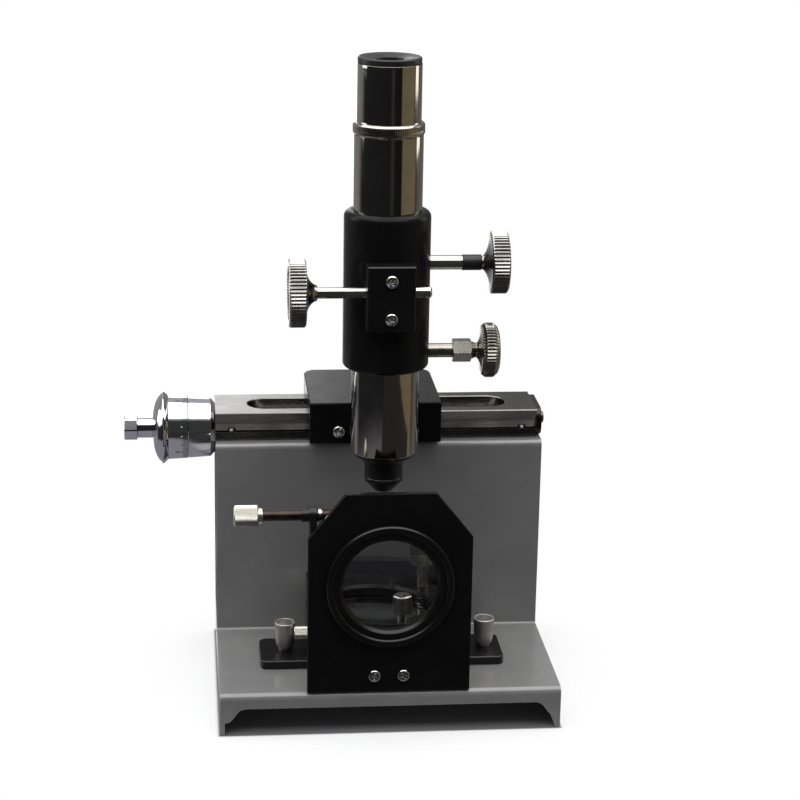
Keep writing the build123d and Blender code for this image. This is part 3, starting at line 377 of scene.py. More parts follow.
def turned(origin, axis, outline, sides=96, cut=None, closed=True, up=None):
    """Turns an outline of (along, radius) about an axis.

    cut(angle, along, radius) is taken off every radius, a bore's too.
    """
    axis = Vector(axis).normalized()
    side = Vector(up) if up else (Z if abs(axis.z) < 0.9 else X)
    side = (side - axis * side.dot(axis)).normalized()
    other = axis.cross(side)
    origin = Vector(origin)
    verts, rings = [], []
    for along, radius in outline:
        if radius < 1e-6:
            rings.append([len(verts)])
            verts.append(origin + axis * along)
            continue
        ring = []
        for s in range(sides):
            angle = 2 * math.pi * s / sides
            r = radius - (cut(angle, along, radius) if cut else 0)
            ring.append(len(verts))
            verts.append(origin + axis * along + (side * math.cos(angle) + other * math.sin(angle)) * r)
        rings.append(ring)
    pairs = list(zip(rings, rings[1:]))
    if closed:
        pairs.append((rings[-1], rings[0]))
    return verts, bridged(pairs, sides)


def joined(*parts):
    """Several (verts, faces) as one."""
    verts, faces = [], []
    for v, f in parts:
        shift = len(verts)
        verts += v
        faces += [tuple(i + shift for i in face) for face in f]
    return verts, faces


def flutes(count, depth, low, high, fade=0.5, power=1.0):
    """Straight flutes for turned(): full depth between two places along the axis, fading out past them."""

    def cut(angle, along, radius):
        inside = min(1.0, max(0.0, (along - low) / fade + 1), max(0.0, (high - along) / fade + 1))
        return depth * inside * (0.5 - 0.5 * math.cos(count * angle)) ** power

    return cut


def even(outline, longest):
    """An outline with its long runs divided, so that flutes follow them."""
    out = []
    for a, b in zip(outline, outline[1:] + outline[:1]):
        out.append(a)
        span = math.dist(a, b)
        for s in range(1, int(span / longest) + 1):
            f = s / (int(span / longest) + 1)
            out.append((a[0] + (b[0] - a[0]) * f, a[1] + (b[1] - a[1]) * f))
    return out


def softened(node, width):
    """The CAD node's own shape with its sharp edges rounded."""
    bm = bmesh.new()
    bm.from_mesh(frame["nodes"][node].data)
    bmesh.ops.remove_doubles(bm, verts=bm.verts, dist=2e-6)
    bmesh.ops.dissolve_limit(bm, angle_limit=math.radians(0.6), verts=bm.verts, edges=bm.edges)
    verts = [v.co / MM for v in bm.verts]
    bm.verts.index_update()
    faces = [[v.index for v in f.verts] for f in bm.faces]
    bm.free()
    obj = piece(node + "_finished", verts, faces, [node])
    bevel = obj.modifiers.new("rounded_edges", "BEVEL")
    bevel.width = width * MM
    bevel.segments = 2
    bevel.limit_method = "ANGLE"
    bevel.angle_limit = math.radians(28)
    bevel.use_clamp_overlap = True
    bevel.harden_normals = True
    return obj


# ---------------------------------------------------------------- whole parts kept in shape
for node in frame["nodes"]:
    frame["nodes"][node].data.materials.clear()
    frame["nodes"][node].data.materials.append(LOOKS[FINISH.get(node, SLOT_OF[node])])

SOFT_EDGES = {
    "base_frame": 0.35, "dovetail_rail": 0.2, "end_bearing": 0.4, "carriage": 0.35, "gib_strip": 0.1,
    "feed_nut": 0.2, "limb": 0.5, "pinion_block": 0.35, "foot_bar": 0.4, "box_floor": 0.3, "box_shell": 0.3,
    "front_plate": 0.3, "glass_holder": 0.2, "sleeve": 0.15, "rack": 0.05, "tilt_bushing": 0.15,
    "foot_studs": 0.1, "crosswire_ring": 0.03,
}
for node, width in SOFT_EDGES.items():
    softened(node, width)


# ---------------------------------------------------------------- screws
def screw_places(node):
    """Seat, outward direction, head radius and height, shank radius and length of each screw in a node."""
    found = []
    for points in islands(node):
        low = Vector([min(p[i] for p in points) for i in range(3)])
        high = Vector([max(p[i] for p in points) for i in range(3)])
        size, centre = high - low, (low + high) / 2
        along = max(range(3), key=lambda i: min(abs(size[i] - size[j]) for j in range(3) if j != i))
        across = [i for i in range(3) if i != along]
        away = [math.hypot(*(p[i] - centre[i] for i in across)) for p in points]
        head_radius = max(away)
        rim = [p[along] for p, r in zip(points, away) if r > 0.95 * head_radius]
        sign = 1 if sum(rim) / len(rim) > centre[along] else -1
        top = high[along] if sign > 0 else low[along]
        far = low[along] if sign > 0 else high[along]
        seat = min(rim, key=lambda value: value * sign)
        shank = max(r for p, r in zip(points, away) if abs(p[along] - far) < 0.02)
        place = centre.copy()
        place[along] = seat
        outward = Vector([sign if i == along else 0 for i in range(3)])
        found.append((place, outward, head_radius, abs(top - seat), shank, abs(seat - far)))
    return found


def pan_screw(place, outward, radius, height, shank, length, spin, sides=72):
    """A domed pan head with a tapering cross recess, on a threaded shank."""
    arm, half_arm = 0.60 * radius, 0.155 * radius
    side = (Z if abs(outward.z) < 0.9 else X)
    other = outward.cross(side)

    def top(x, y):
        r = math.hypot(x, y) / radius
        dome = height * (1 - 0.30 * r**2.4 - 0.16 * max(0.0, (r - 0.82) / 0.18) ** 2)
        u, v = abs(x * math.cos(spin) + y * math.sin(spin)), abs(y * math.cos(spin) - x * math.sin(spin))
        soft = 0.10 * radius / 2.75
        depth = 0.0
        for p, q in ((u, v), (v, u)):
            across = min(1.0, max(0.0, (half_arm - q) / soft + 0.5))
            inside = across * min(1.0, max(0.0, (arm - p) / soft + 0.5))
            depth = max(depth, inside * height * (0.78 - 0.5 * p / arm))
        return dome - depth

    verts = [place + outward * top(0, 0)]
    rings, faces = [], []
    radial = [radius * (i / 22) for i in range(1, 23)]
    for r in radial:
        ring = []
        for s in range(sides):
            angle = 2 * math.pi * s / sides
            x, y = r * math.cos(angle), r * math.sin(angle)
            ring.append(len(verts))
            verts.append(place + side * x + other * y + outward * top(x, y))
        rings.append(ring)
    lower = [(0.0, radius), (0.0, shank)]
    count = int(length / 0.125)
    for i in range(count):
        deep = length * (i + 1) / count
        pinch = 0.09 * shank * (0.5 - 0.5 * math.cos(2 * math.pi * deep / 0.5))
        lower.append((-deep, shank - (pinch if deep < length - 0.3 else 0.12 * shank)))
    for along, r in lower:
        ring = []
        for s in range(sides):
            angle = 2 * math.pi * s / sides
            ring.append(len(verts))
            verts.append(place + (side * math.cos(angle) + other * math.sin(angle)) * r + outward * along)
        rings.append(ring)
    for s in range(sides):
        faces.append((0, rings[0][s], rings[0][(s + 1) % sides]))
    for a, b in zip(rings, rings[1:]):
        for s in range(sides):
            n = (s + 1) % sides
            faces.append((a[s], b[s], b[n], a[n]))
    faces.append(tuple(rings[-1]))
    return verts, faces


def screw_set(node, sides=72):
    made = []
    for i, (place, outward, radius, height, shank, length) in enumerate(screw_places(node)):
        spin = 0.35 + 0.9 * i
        made.append(pan_screw(place, outward, radius, height, shank, length, spin, sides))
    piece(node + "_turned", *joined(*made), [node], crease=38)


screw_set("box_screws")
screw_set("block_screws")
screw_set("gib_screws")
screw_set("rail_screws", 48)
screw_set("limb_screws", 48)


# ---------------------------------------------------------------- knobs
def knob(node, outward, profile, count, depth, rim, sides_per=8, look=None):
    """A fluted knob from its own (along, radius, fillet) profile, measured inward face first."""
    low, high = box_mm(node)
    start = (low + high) / 2
    start.x = low.x if outward > 0 else high.x
    outline = even(rounded(profile, 5, closed=False), 0.7)
    made = turned(
        start, (outward, 0, 0), outline, count * sides_per,
        flutes(count, depth, rim[0], rim[1], 0.5, 0.75), closed=False,
    )
    return piece(node + "_turned", *made, [node], look, crease=50)


def swept(start, end, steps=12, sharpness=1.6):
    """Points from a thin neck out to a wide rim along a hollow curve."""
    made = []
    for s in range(steps + 1):
        f = s / steps
        along = start[0] + (end[0] - start[0]) * (1 - (1 - f) ** sharpness)
        made.append((along, start[1] + (end[1] - start[1]) * f**sharpness))
    return made


low, high = box_mm("pinion_knob")
deep, wide = high.x - low.x, (high.z - low.z) / 2
profile = [(0, 0), (0, 3.3)]
profile += [(p[0], p[1]) for p in swept((0.2, 3.4), (deep - 7.5, 10.2))]
profile += [(deep - 7.3, wide - 0.7, 0.5), (deep - 6.6, wide, 0.5), (deep - 0.7, wide, 0.4)]
profile += [(deep, wide - 0.8, 0.5), (deep, wide - 3.0, 0.3), (deep - 0.7, wide - 3.7, 0.4), (deep - 0.7, 0)]
knob("pinion_knob", -1, profile, 58, 0.55, (deep - 6.6, deep - 0.5))

low, high = box_mm("upper_clamp_knob")
deep, wide = high.x - low.x, (high.z - low.z) / 2
profile = [(0, 0), (0, 2.9, 0.3)]
profile += swept((0.5, 3.1), (3.6, 12.4))
profile += [(3.9, wide - 0.3, 0.4), (4.6, wide, 0.4), (deep - 0.7, wide, 0.4), (deep, wide - 0.7, 0.5)]
profile += [(deep, wide - 2.8, 0.3), (deep - 0.6, wide - 3.4, 0.4), (deep - 0.6, 0)]
knob("upper_clamp_knob", 1, profile, 54, 0.55, (4.6, deep - 0.5))

low, high = box_mm("lower_clamp_knob")
deep, wide = high.x - low.x, (high.z - low.z) / 2
profile = [(0, 0), (0, 3.2, 0.3)]
profile += swept((0.4, 3.3), (2.4, 9.4))
profile += [(2.6, wide - 1.4, 0.8), (4.2, wide, 1.0), (deep - 2.4, wide, 1.2), (deep - 0.6, wide - 1.6, 1.0)]
profile += [(deep, wide - 3.0, 0.6), (deep, 0)]
knob("lower_clamp_knob", 1, profile, 50, 0.5, (2.9, deep - 1.6), look="aged_nickel")

low, high = box_mm("tilt_knob")
deep, wide = high.x - low.x, (high.z - low.z) / 2
profile = [(0, 0), (0, 3.2, 0.2), (0.3, 3.5, 0.2), (2.1, 3.5, 0.2), (2.1, wide - 0.4, 0.2), (2.5, wide, 0.2)]
profile += [(deep - 0.5, wide, 0.25), (deep, wide - 0.5, 0.25), (deep, 0)]
knob("tilt_knob", -1, profile, 60, 0.16, (2.6, deep - 0.5), 6)

low, high = box_mm("cell_clamp_screw")
wide = (high.z - low.z) / 2
profile = [(0, 0), (0, 1.3, 0.2), (0.2, 1.5, 0.1), (6.0, 1.5, 0.1), (6.0, wide - 0.4, 0.15), (6.4, wide, 0.2)]
profile += [(12.3, wide, 0.2), (12.7, wide - 0.4, 0.2), (12.7, 0)]
knob("cell_clamp_screw", -1, profile, 30, 0.18, (6.5, 12.2), 6)


def standing(node, profile, count=0, depth=0.0, rim=(0, 0), sides=96, closed=False):
    """A part turned about its own vertical axis, from (height above its foot, radius, fillet)."""
    low, high = box_mm(node)
    foot = (low + high) / 2
    foot.z = low.z
    cut = flutes(count, depth, rim[0], rim[1], 0.4, 0.8) if count else None
    outline = rounded(profile, 4, closed)
    if count:
        outline = even(outline, 0.9)
    made = turned(foot, Z, outline, count * 6 if count else sides, cut, closed)
    return piece(node + "_turned", *made, [node], crease=40)


for node in ("front_cell_screw", "rear_cell_screw", "left_cell_screw"):
    low, high = box_mm(node)
    tall, wide = high.z - low.z, (high.x - low.x) / 2
    profile = [(0, 0), (0, 1.5, 0.2), (0.3, 1.75, 0.1), (tall - 8, 1.75, 0.2), (tall - 8, wide - 0.4, 0.15)]
    profile += [(tall - 7.6, wide, 0.2), (tall - 0.6, wide, 0.3), (tall, wide - 0.6, 0.3), (tall, 0)]
    standing(node, profile, 40, 0.24, (tall - 7.5, tall - 0.7))

for node in ("left_thumb_nut", "right_thumb_nut"):
    low, high = box_mm(node)
    tall, wide = high.z - low.z, (high.x - low.x) / 2
    profile = [(0, 2.05), (0, 2.9, 0.3), (1.2, 2.9, 0.3), (2.0, 3.9, 0.4), (4.0, 4.3, 1.0)]
    profile += [(tall - 0.2, wide, 0.2), (tall, wide - 0.2, 0.15), (tall, wide - 0.85, 0.2)]
    profile += [(tall - 5.2, 3.4, 0.6), (tall - 6.0, 2.05, 0.2)]
    standing(node, profile, closed=True, sides=112)


# ---------------------------------------------------------------- tubes and optics
low, high = box_mm("body_tube")
tall, wide = high.z - low.z, (high.x - low.x) / 2
base = middle("body_tube")
base.z = low.z
rack_low, rack_high = box_mm("rack")
groove_start, groove_end = rack_low.z - low.z, rack_high.z - low.z
groove_half = (rack_high.x - rack_low.x) / 2
rack_seat = base.y - rack_high.y


def rack_groove(angle, along, radius):
    """The flat-bottomed seat of the rack in the tube's front."""
    off = abs((angle + math.pi) % (2 * math.pi) - math.pi)
    in_length = groove_start - 0.01 < along < groove_end + 0.01
    if in_length and off < 1 and radius * math.sin(off) < groove_half + 0.01:
        return max(0.0, radius - rack_seat / math.cos(off))
    return 0.0


TUBE_BORE = 12.5
tube = [(0, TUBE_BORE), (0, wide - 0.8, 0.15), (0.8, wide, 0.15), (groove_start - 0.02, wide)]
tube += [(groove_start, wide), (groove_end, wide), (groove_end + 0.02, wide)]
tube += [(tall - 0.3, wide, 0.1), (tall, wide - 0.3, 0.1), (tall, TUBE_BORE)]
piece("body_tube_turned", *turned(base, Z, rounded(tube, 4), 360, rack_groove, up=-Y), ["body_tube"])

low, high = box_mm("eyepiece_barrel")
base = middle("eyepiece_barrel")
base.z = low.z
shoulder = box_mm("body_tube")[1].z - low.z
top = high.z - low.z
EYEPIECE_BORE, INSERT, BARREL, GRIP = 11.0, 12.45, 13.8, 15.4
ring = [(0, EYEPIECE_BORE), (0, INSERT, 0.3), (shoulder, INSERT), (shoulder, 14.9, 0.2)]
ring += [(shoulder + 0.5, GRIP, 0.3), (shoulder + 4.2, GRIP, 0.3)]
ring += [(shoulder + 4.9, 14.8, 0.3), (shoulder + 4.9, 13.9, 0.2)]
ring += [(shoulder + 5.5, BARREL, 0.3), (top, BARREL, 0.15), (top, EYEPIECE_BORE, 0.1)]
knurl = flutes(96, 0.14, shoulder + 1.0, shoulder + 3.9, 0.3, 1.0)
piece(
    "eyepiece_barrel_turned",
    *turned(base, Z, even(rounded(ring, 4), 1.2), 96 * 6, knurl),
    ["eyepiece_barrel"],
    crease=45,
)

standing(
    "eyepiece_cap",
    [
        (0, 8.6, 0.1), (0, 11.0, 0.1), (7.0, 11.0), (7.0, 13.4, 0.2), (7.4, 13.6, 0.2), (9.3, 13.6, 0.4),
        (9.8, 13.1, 0.4), (9.5, 11.0, 0.6), (8.6, 6.0, 0.3), (6.2, 5.6, 0.2), (6.2, 8.6, 0.1),
    ],
    closed=True, sides=160,
)

standing(
    "objective_mount",
    [
        (0, 6.0, 0.1), (0.4, 9.2, 0.3), (3.8, 13.8, 0.3), (4.6, 13.8, 0.1), (4.6, 12.5),
        (9.6, 12.5, 0.2), (9.6, 6.0, 0.2),
    ],
    closed=True, sides=144,
)

standing(
    "objective_barrel",
    [
        (0, 2.6, 0.1), (0, 4.0, 0.3), (4.7, 8.45, 0.4), (6.4, 8.45, 0.1), (6.7, 8.2, 0.1), (7.0, 8.45, 0.1),
        (13.4, 8.45, 0.2), (13.4, 6.0, 0.1), (21.0, 6.0, 0.2), (21.0, 4.6, 0.1), (7.0, 4.6),
        (2.6, 3.0), (2.6, 3.4), (0.6, 3.4), (0.1, 2.7, 0.1),
    ],
    closed=True, sides=144,
)


def facing(node, profile, sides=160):
    """A part turned about its own front-to-back axis, from (depth behind its front, radius, fillet)."""
    low, high = box_mm(node)
    front = (low + high) / 2
    front.y = low.y
    return piece(node + "_turned", *turned(front, Y, rounded(profile, 4), sides), [node], crease=40)


def sheet_of_glass(node, across):
    """A CAD glass sheet with clear faces across one direction and dull ground edges."""
    bm = bmesh.new()
    bm.from_mesh(frame["nodes"][node].data)
    bmesh.ops.remove_doubles(bm, verts=bm.verts, dist=2e-6)
    bmesh.ops.dissolve_limit(bm, angle_limit=math.radians(0.6), verts=bm.verts, edges=bm.edges)
    bm.verts.index_update()
    verts, faces = [v.co / MM for v in bm.verts], [[v.index for v in f.verts] for f in bm.faces]
    bm.free()
    piece(
        node + "_ground", verts, faces, [node], looks=["coated_glass", "ground_glass"],
        face_look=lambda p: int(abs(p.normal.dot(across)) < 0.9),
    )


sheet_of_glass("inclined_glass", Vector((0, 1, 1)).normalized())

low, high = box_mm("tilt_rod")
bush = box_mm("tilt_bushing")[1].x - low.x
start = (low + high) / 2
start.x = low.x
piece(
    "tilt_rod_turned",
    *turned(start, X, rounded([
        (0, 0), (0, 1.6, 0.1), (5, 1.6), (5, 2.3, 0.1), (bush + 0.1, 2.3), (bush + 0.1, 2.9, 0.2),
        (bush + 1.8, 2.9, 0.3), (bush + 1.8, 2.3), (high.x - low.x, 2.3, 0.2), (high.x - low.x, 0),
    ], 3, closed=False), 72, closed=False),
    ["tilt_rod"], crease=40, looks=["browned_steel", "polished_steel"],
    face_look=lambda p: int(bush < p.center.x / MM - low.x < bush + 2.0),
)

facing("lens_ring", [
    (0, 25.0, 0.25), (0, 27.2, 0.25), (0.6, 27.8, 0.25), (2.6, 27.8), (2.6, 26.0), (10.6, 26.0, 0.2),
    (10.6, 21.5, 0.2), (8.6, 21.5, 0.2), (8.6, 24.4), (0.6, 24.4, 0.2),
], 192)
facing("retaining_ring", [
    (0, 21.9, 0.2), (0, 24.4, 0.2), (5.2, 24.4), (3.8, 23.0), (3.8, 20.7, 0.2), (1.2, 20.7, 0.25),
], 192)


# ---------------------------------------------------------------- micrometer
axis_y, axis_z = middle("lead_screw").y, middle("lead_screw").z


def on_screw(x):
    return Vector((x, axis_y, axis_z))


low, high = box_mm("index_collar")
collar_left, collar_right = low.x, high.x
wide = (high.z - low.z) / 2
index_angle = math.radians(45)


def along_x_turned(outline, sides, cut=None, closed=True, x=0.0):
    """Turned about the lead screw, with angle 0 towards the user and 90 degrees at the bottom."""
    return turned(on_screw(x), X, outline, sides, cut, closed, up=-Y)


def groove(angle, at, half_width, radius):
    """1 inside an engraved line at an angle round the axis."""
    off = abs((angle - at + math.pi) % (2 * math.pi) - math.pi) * radius
    return 1.0 if off < half_width else 0.0


def collar_cut(angle, along, radius):
    if collar_left + 0.15 < along < collar_left + 9.5:
        return 0.12 * groove(angle, 2 * math.pi - index_angle, 0.14, radius)
    return 0.0


outline = rounded([
    (collar_left, 2.55), (collar_left, wide), (collar_left + 9.9, wide - 0.6, 0.3),
    (collar_right, wide - 3.1, 0.3), (collar_right, 2.55),
], 4)
piece(
    "index_collar_turned", *along_x_turned(even(outline, 0.8), 720, collar_cut), ["index_collar"], crease=40,
    looks=["satin_chrome", "ink"], face_look=lambda p: int(p.center.x / MM < collar_left + 0.08),
)

low, high = box_mm("micrometer_drum")
drum_left, drum_right = low.x, high.x
drum_wide = (high.z - low.z) / 2
DIVISIONS, STEPS = 100, 8
LINE_DEPTH = 0.12


def line_length(number):
    return 3.4 if number % 10 == 0 else (2.6 if number % 5 == 0 else 1.8)


def drum_radius(x):
    """The drum's slightly tapering skin."""
    return 14.2 + (14.65 - 14.2) * (drum_right - 0.3 - x) / (drum_right - 0.3 - drum_left)


def drum_mesh():
    """The graduated drum: a ring of skin columns, some of them sunk as engraved lines."""
    columns = DIVISIONS * STEPS
    stations = [drum_left, drum_left + 2.0, drum_left + 4.0]
    stations += [drum_right - back for back in (3.5, 3.4, 2.7, 2.6, 1.9, 1.8, 0.9, 0.3)]
    verts, faces, inked = [], [], []
    for x in stations:
        for c in range(columns):
            number, part = divmod(c, STEPS)
            sunk = part in (0, 1) and x > drum_right - line_length(number) - 0.12
            angle = 2 * math.pi * (c - 0.5) / columns
            r = drum_radius(x) - (LINE_DEPTH if sunk else 0)
            verts.append((x, axis_y - r * math.cos(angle), axis_z + r * math.sin(angle)))
    for i in range(len(stations) - 1):
        for c in range(columns):
            n = (c + 1) % columns
            faces.append((i * columns + c, i * columns + n, (i + 1) * columns + n, (i + 1) * columns + c))
            number, part = divmod(c, STEPS)
            if part in (0, 1, STEPS - 1) and stations[i + 1] > drum_right - line_length(number) - 0.12:
                inked.append(len(faces) - 1)
    rings = [(drum_right - 0.08, 14.1), (drum_right, 13.9), (drum_right, 2.5), (drum_left, 2.5)]
    last = (len(stations) - 1) * columns
    for x, r in rings:
        start = len(verts)
        for c in range(columns):
            angle = 2 * math.pi * (c - 0.5) / columns
            verts.append((x, axis_y - r * math.cos(angle), axis_z + r * math.sin(angle)))
        for c in range(columns):
            n = (c + 1) % columns
            faces.append((last + c, last + n, start + n, start + c))
            if r > 13:
                inked.append(len(faces) - 1)
        last = start
    for c in range(columns):
        n = (c + 1) % columns
        faces.append((last + c, last + n, n, c))
    return verts, faces, set(inked)


drum_verts, drum_faces, inked = drum_mesh()
piece(
    "micrometer_drum_engraved", drum_verts, drum_faces, ["micrometer_drum"], crease=15,
    looks=["satin_chrome", "ink"], face_look=lambda p: int(p.index in inked),
)


def numeral(text, angle, x, size=1.9):
    """A number engraved and filled on the drum, wrapped round it, reading along the axis."""
    curve = bpy.data.curves.new("numeral_" + text, "FONT")
    curve.body = text
    curve.size = size
    curve.align_x = "CENTER"
    curve.align_y = "CENTER"
    curve.extrude = 0.02
    curve.resolution_u = 3
    holder = bpy.data.objects.new("numeral_" + text, curve)
    bpy.context.scene.collection.objects.link(holder)
    bpy.context.view_layer.update()
    mesh = bpy.data.meshes.new_from_object(holder.evaluated_get(bpy.context.evaluated_depsgraph_get()))
    bpy.data.objects.remove(holder)
    verts = []
    for v in mesh.vertices:
        place = x + v.co.x
        r = drum_radius(place) + v.co.z - 0.005
        turn = angle + v.co.y / r
        verts.append((place, axis_y - r * math.cos(turn), axis_z + r * math.sin(turn)))
    faces = [tuple(p.vertices) for p in mesh.polygons]
    bpy.data.meshes.remove(mesh)
    return verts, faces


def extra(name, verts, faces, body, look, slot, crease=32.0):
    """A new small piece that stands for no CAD node."""
    mesh = bpy.data.meshes.new(name)
    mesh.from_pydata([tuple(c * MM for c in v) for v in verts], [], faces)
    bm = bmesh.new()
    bm.from_mesh(mesh)
    bmesh.ops.remove_doubles(bm, verts=bm.verts, dist=1e-7)
    bmesh.ops.recalc_face_normals(bm, faces=bm.faces)
    bm.to_mesh(mesh)
    bm.free()
    mesh.shade_smooth()
    mesh.set_sharp_from_angle(angle=math.radians(crease))
    mesh.materials.append(LOOKS[look])
    obj = bpy.data.objects.new(name, mesh)
    bpy.context.scene.collection.objects.link(obj)
    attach(obj, body)
    return obj


numerals = [
    numeral(str(10 * i), 2 * math.pi * (i * 10 * STEPS + 0.5) / (DIVISIONS * STEPS), drum_right - 5.2)
    for i in range(10)
]
extra("drum_numerals", *joined(*numerals), "micrometer", "ink", "satin_chrome")

# A thin washer closes the running gap between the drum and the index collar.
WASHER_BORE, WASHER_RADIUS = 2.8, 13.4
washer_left, washer_right = collar_left - 0.14, collar_left + 0.02
washer = [(washer_left, WASHER_BORE), (washer_left, WASHER_RADIUS)]
washer += [(washer_right, WASHER_RADIUS), (washer_right, WASHER_BORE)]
extra("drum_washer", *along_x_turned(washer, 96), "stand", "blackened_steel", "blackened_steel")

low, high = box_mm("drum_flange")
left, right = low.x, high.x
wide = (high.z - low.z) / 2
FLANGE_BORE, DOME_NECK, DOME_DEPTH = 2.5, 4.7, 4.0
DOME_STEPS, DOME_SWEEP = 15, math.radians(72)
dome = [(left, FLANGE_BORE), (left, DOME_NECK, 0.2)]
for step in range(1, DOME_STEPS):
    f = step / DOME_STEPS * DOME_SWEEP
    along = left + DOME_DEPTH * (1 - math.cos(f)) / (1 - math.cos(DOME_SWEEP))
    dome.append((along, DOME_NECK + (wide - 5.7) * math.sin(f) / math.sin(DOME_SWEEP)))
dome += [(left + 4.4, wide - 0.3, 0.3), (left + 4.7, wide, 0.25), (left + 5.1, wide - 0.1, 0.2)]
dome += [(right, drum_wide), (right, FLANGE_BORE)]
piece("drum_flange_turned", *along_x_turned(rounded(dome, 4), 160), ["drum_flange"], crease=50)


def spinner_mesh():
    """The finger piece: a round neck and a six-sided head with a dished end."""
    low, high = box_mm("spinner")
    sides = 96
    neck = high.x - 6.9
    # place along X, radius, and 1 where the ring is six-sided
    stations = [(high.x, 0.0, 0), (high.x, 4.7, 0), (neck + 0.2, 4.7, 0), (neck, 4.55, 0), (neck, 4.9, 1)]
    stations += [(neck - 0.3, 5.3, 1), (low.x + 0.5, 5.3, 1), (low.x + 0.05, 4.9, 1), (low.x, 4.4, 1)]
    stations += [(low.x + 0.5, 3.6, 0), (low.x + 0.8, 0.0, 0)]
    verts, rings = [], []
    for x, radius, six in stations:
        if radius == 0:
            rings.append([len(verts)])
            verts.append(on_screw(x))
            continue
        ring = []
        for s in range(sides):
            angle = 2 * math.pi * s / sides
            r = radius
            if six:
                sector = (angle % (math.pi / 3)) - math.pi / 6
                r = min(radius * 1.075, radius * 0.945 / math.cos(sector))
            ring.append(len(verts))
            verts.append((x, axis_y + r * math.cos(angle), axis_z + r * math.sin(angle)))
        rings.append(ring)
    return verts, bridged(zip(rings, rings[1:]), sides)


piece("spinner_turned", *spinner_mesh(), ["spinner"], crease=24)


def thread(node, pitch, depth, sides=32, per_turn=6):
    """A screw thread along X, at the CAD rod's radius and length."""
    low, high = box_mm(node)
    radius = (high.z - low.z) / 2
    rows = int((high.x - low.x) / pitch * per_turn)
    verts, faces = [on_screw(low.x)], []
    for i in range(rows + 1):
        x = low.x + (high.x - low.x) * i / rows
        for s in range(sides):
            phase = (x / pitch - s / sides) % 1.0
            r = radius - depth * abs(2 * phase - 1) * (0 if i in (0, rows) else 1)
            angle = 2 * math.pi * s / sides
            verts.append((x, axis_y + r * math.cos(angle), axis_z + r * math.sin(angle)))
    verts.append(on_screw(high.x))
    for s in range(sides):
        n = (s + 1) % sides
        faces.append((0, 1 + n, 1 + s))
        faces.append((len(verts) - 1, 1 + rows * sides + s, 1 + rows * sides + n))
        for i in range(rows):
            a, b = 1 + i * sides, 1 + (i + 1) * sides
            faces.append((a + s, a + n, b + n, b + s))
    return verts, faces


piece("lead_screw_threaded", *thread("lead_screw", 1.0, 0.45), ["lead_screw"], crease=60)


# ---------------------------------------------------------------- floor, lights and camera
def studio_surface(name, colour, roughness):
    look = Look(name, colour, roughness, Specular_IOR_Level=0.2)
    cloud = look.between(look.noise(180, 4, 0.5), 0.3, 0.7)
    look.set("Base Color", look.blend(cloud, colour, tuple(c * 0.985 for c in colour)))
    return look


FOOTPRINT = [(c / MM) for c in (*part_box("base_frame")[0].xy, *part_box("base_frame")[1].xy)]
SHADOW_REACH = 60.0
FLOOR_HEIGHT = -0.00005


def floor():
    """A pale floor, painted dark grey as a shadow within the base's footprint, that fades into the white
    surroundings past it.
    """
    look = studio_surface("floor", (0.80, 0.80, 0.80), 0.8)
    split = look.node("ShaderNodeSeparateXYZ", None, Vector=look.stretched((1, 1, 1)))
    outside = []
    for value, low, high in ((split.outputs[0], *FOOTPRINT[::2]), (split.outputs[1], *FOOTPRINT[1::2])):
        off = look.calc("ABSOLUTE", look.calc("SUBTRACT", value, (low + high) / 2))
        outside.append(look.calc("MAXIMUM", look.calc("SUBTRACT", off, (high - low) / 2), 0.0))
    squares = [look.calc("MULTIPLY", o, o) for o in outside]
    away = look.calc("SQRT", look.calc("ADD", *squares))
    painted_shadow_footprint = look.between(away, 0.0, 2.0, 1.0, 0.0)
    # painted shadow: the floor's colour is dark grey inside the base's footprint and pale outside it
    look.set("Base Color", look.blend(painted_shadow_footprint, (0.95, 0.95, 0.95), (0.20, 0.20, 0.205)))
    near = look.between(away, 0.0, SHADOW_REACH, 1.0, 0.0)
    fade = look.calc("MULTIPLY", look.calc("MULTIPLY", near, near), 0.32)
    shown = look.calc("MAXIMUM", painted_shadow_footprint, fade)
    output = next(n for n in look.tree.nodes if n.type == "OUTPUT_MATERIAL")
    clear = look.node("ShaderNodeBsdfTransparent")
    mixed = look.node("ShaderNodeMixShader")
    look.feed(mixed.inputs[0], shown)
    look.feed(mixed.inputs[1], clear.outputs[0])
    look.feed(mixed.inputs[2], look.shader.outputs[0])
    look.tree.links.new(mixed.outputs[0], output.inputs[0])
    sides, radius = 96, 0.6
    rim = [2 * math.pi * s / sides for s in range(sides)]
    mesh = bpy.data.meshes.new("floor")
    corners = [(radius * math.cos(a), radius * math.sin(a), FLOOR_HEIGHT) for a in rim]
    mesh.from_pydata(corners, [], [tuple(range(sides))])
    mesh.materials.append(look.material)
    obj = bpy.data.objects.new("floor", mesh)
    bpy.context.scene.collection.objects.link(obj)
    obj.visible_glossy = False


floor()


def dark_card():
    """A black card laid in front of the base, right of the micrometer, that only polished parts reflect."""
    look = studio_surface("card", (0.012, 0.012, 0.012), 0.8)
    mesh = bpy.data.meshes.new("card")
    left, right, near, far, height = -0.069, 0.35, -1.2, -0.075, 0.0005
    corners = [(left, near, height), (right, near, height), (right, far, height), (left, far, height)]
    mesh.from_pydata(corners, [], [(0, 1, 2, 3)])
    mesh.materials.append(look.material)
    obj = bpy.data.objects.new("card", mesh)
    bpy.context.scene.collection.objects.link(obj)
    obj.visible_camera = obj.visible_diffuse = obj.visible_transmission = obj.visible_shadow = False


dark_card()


def soft_light(name, place, target, size, power, colour=(1, 1, 1), spread=180):
    data = bpy.data.lights.new(name, "AREA")
    data.shape = "RECTANGLE"
    data.size, data.size_y = size
    data.energy = power
    data.color = colour
    data.spread = math.radians(spread)
    obj = bpy.data.objects.new(name, data)
    obj.location = place
    obj.rotation_mode = "QUATERNION"
    obj.rotation_quaternion = (Vector(target) - Vector(place)).to_track_quat("-Z", "Y")
    bpy.context.scene.collection.objects.link(obj)


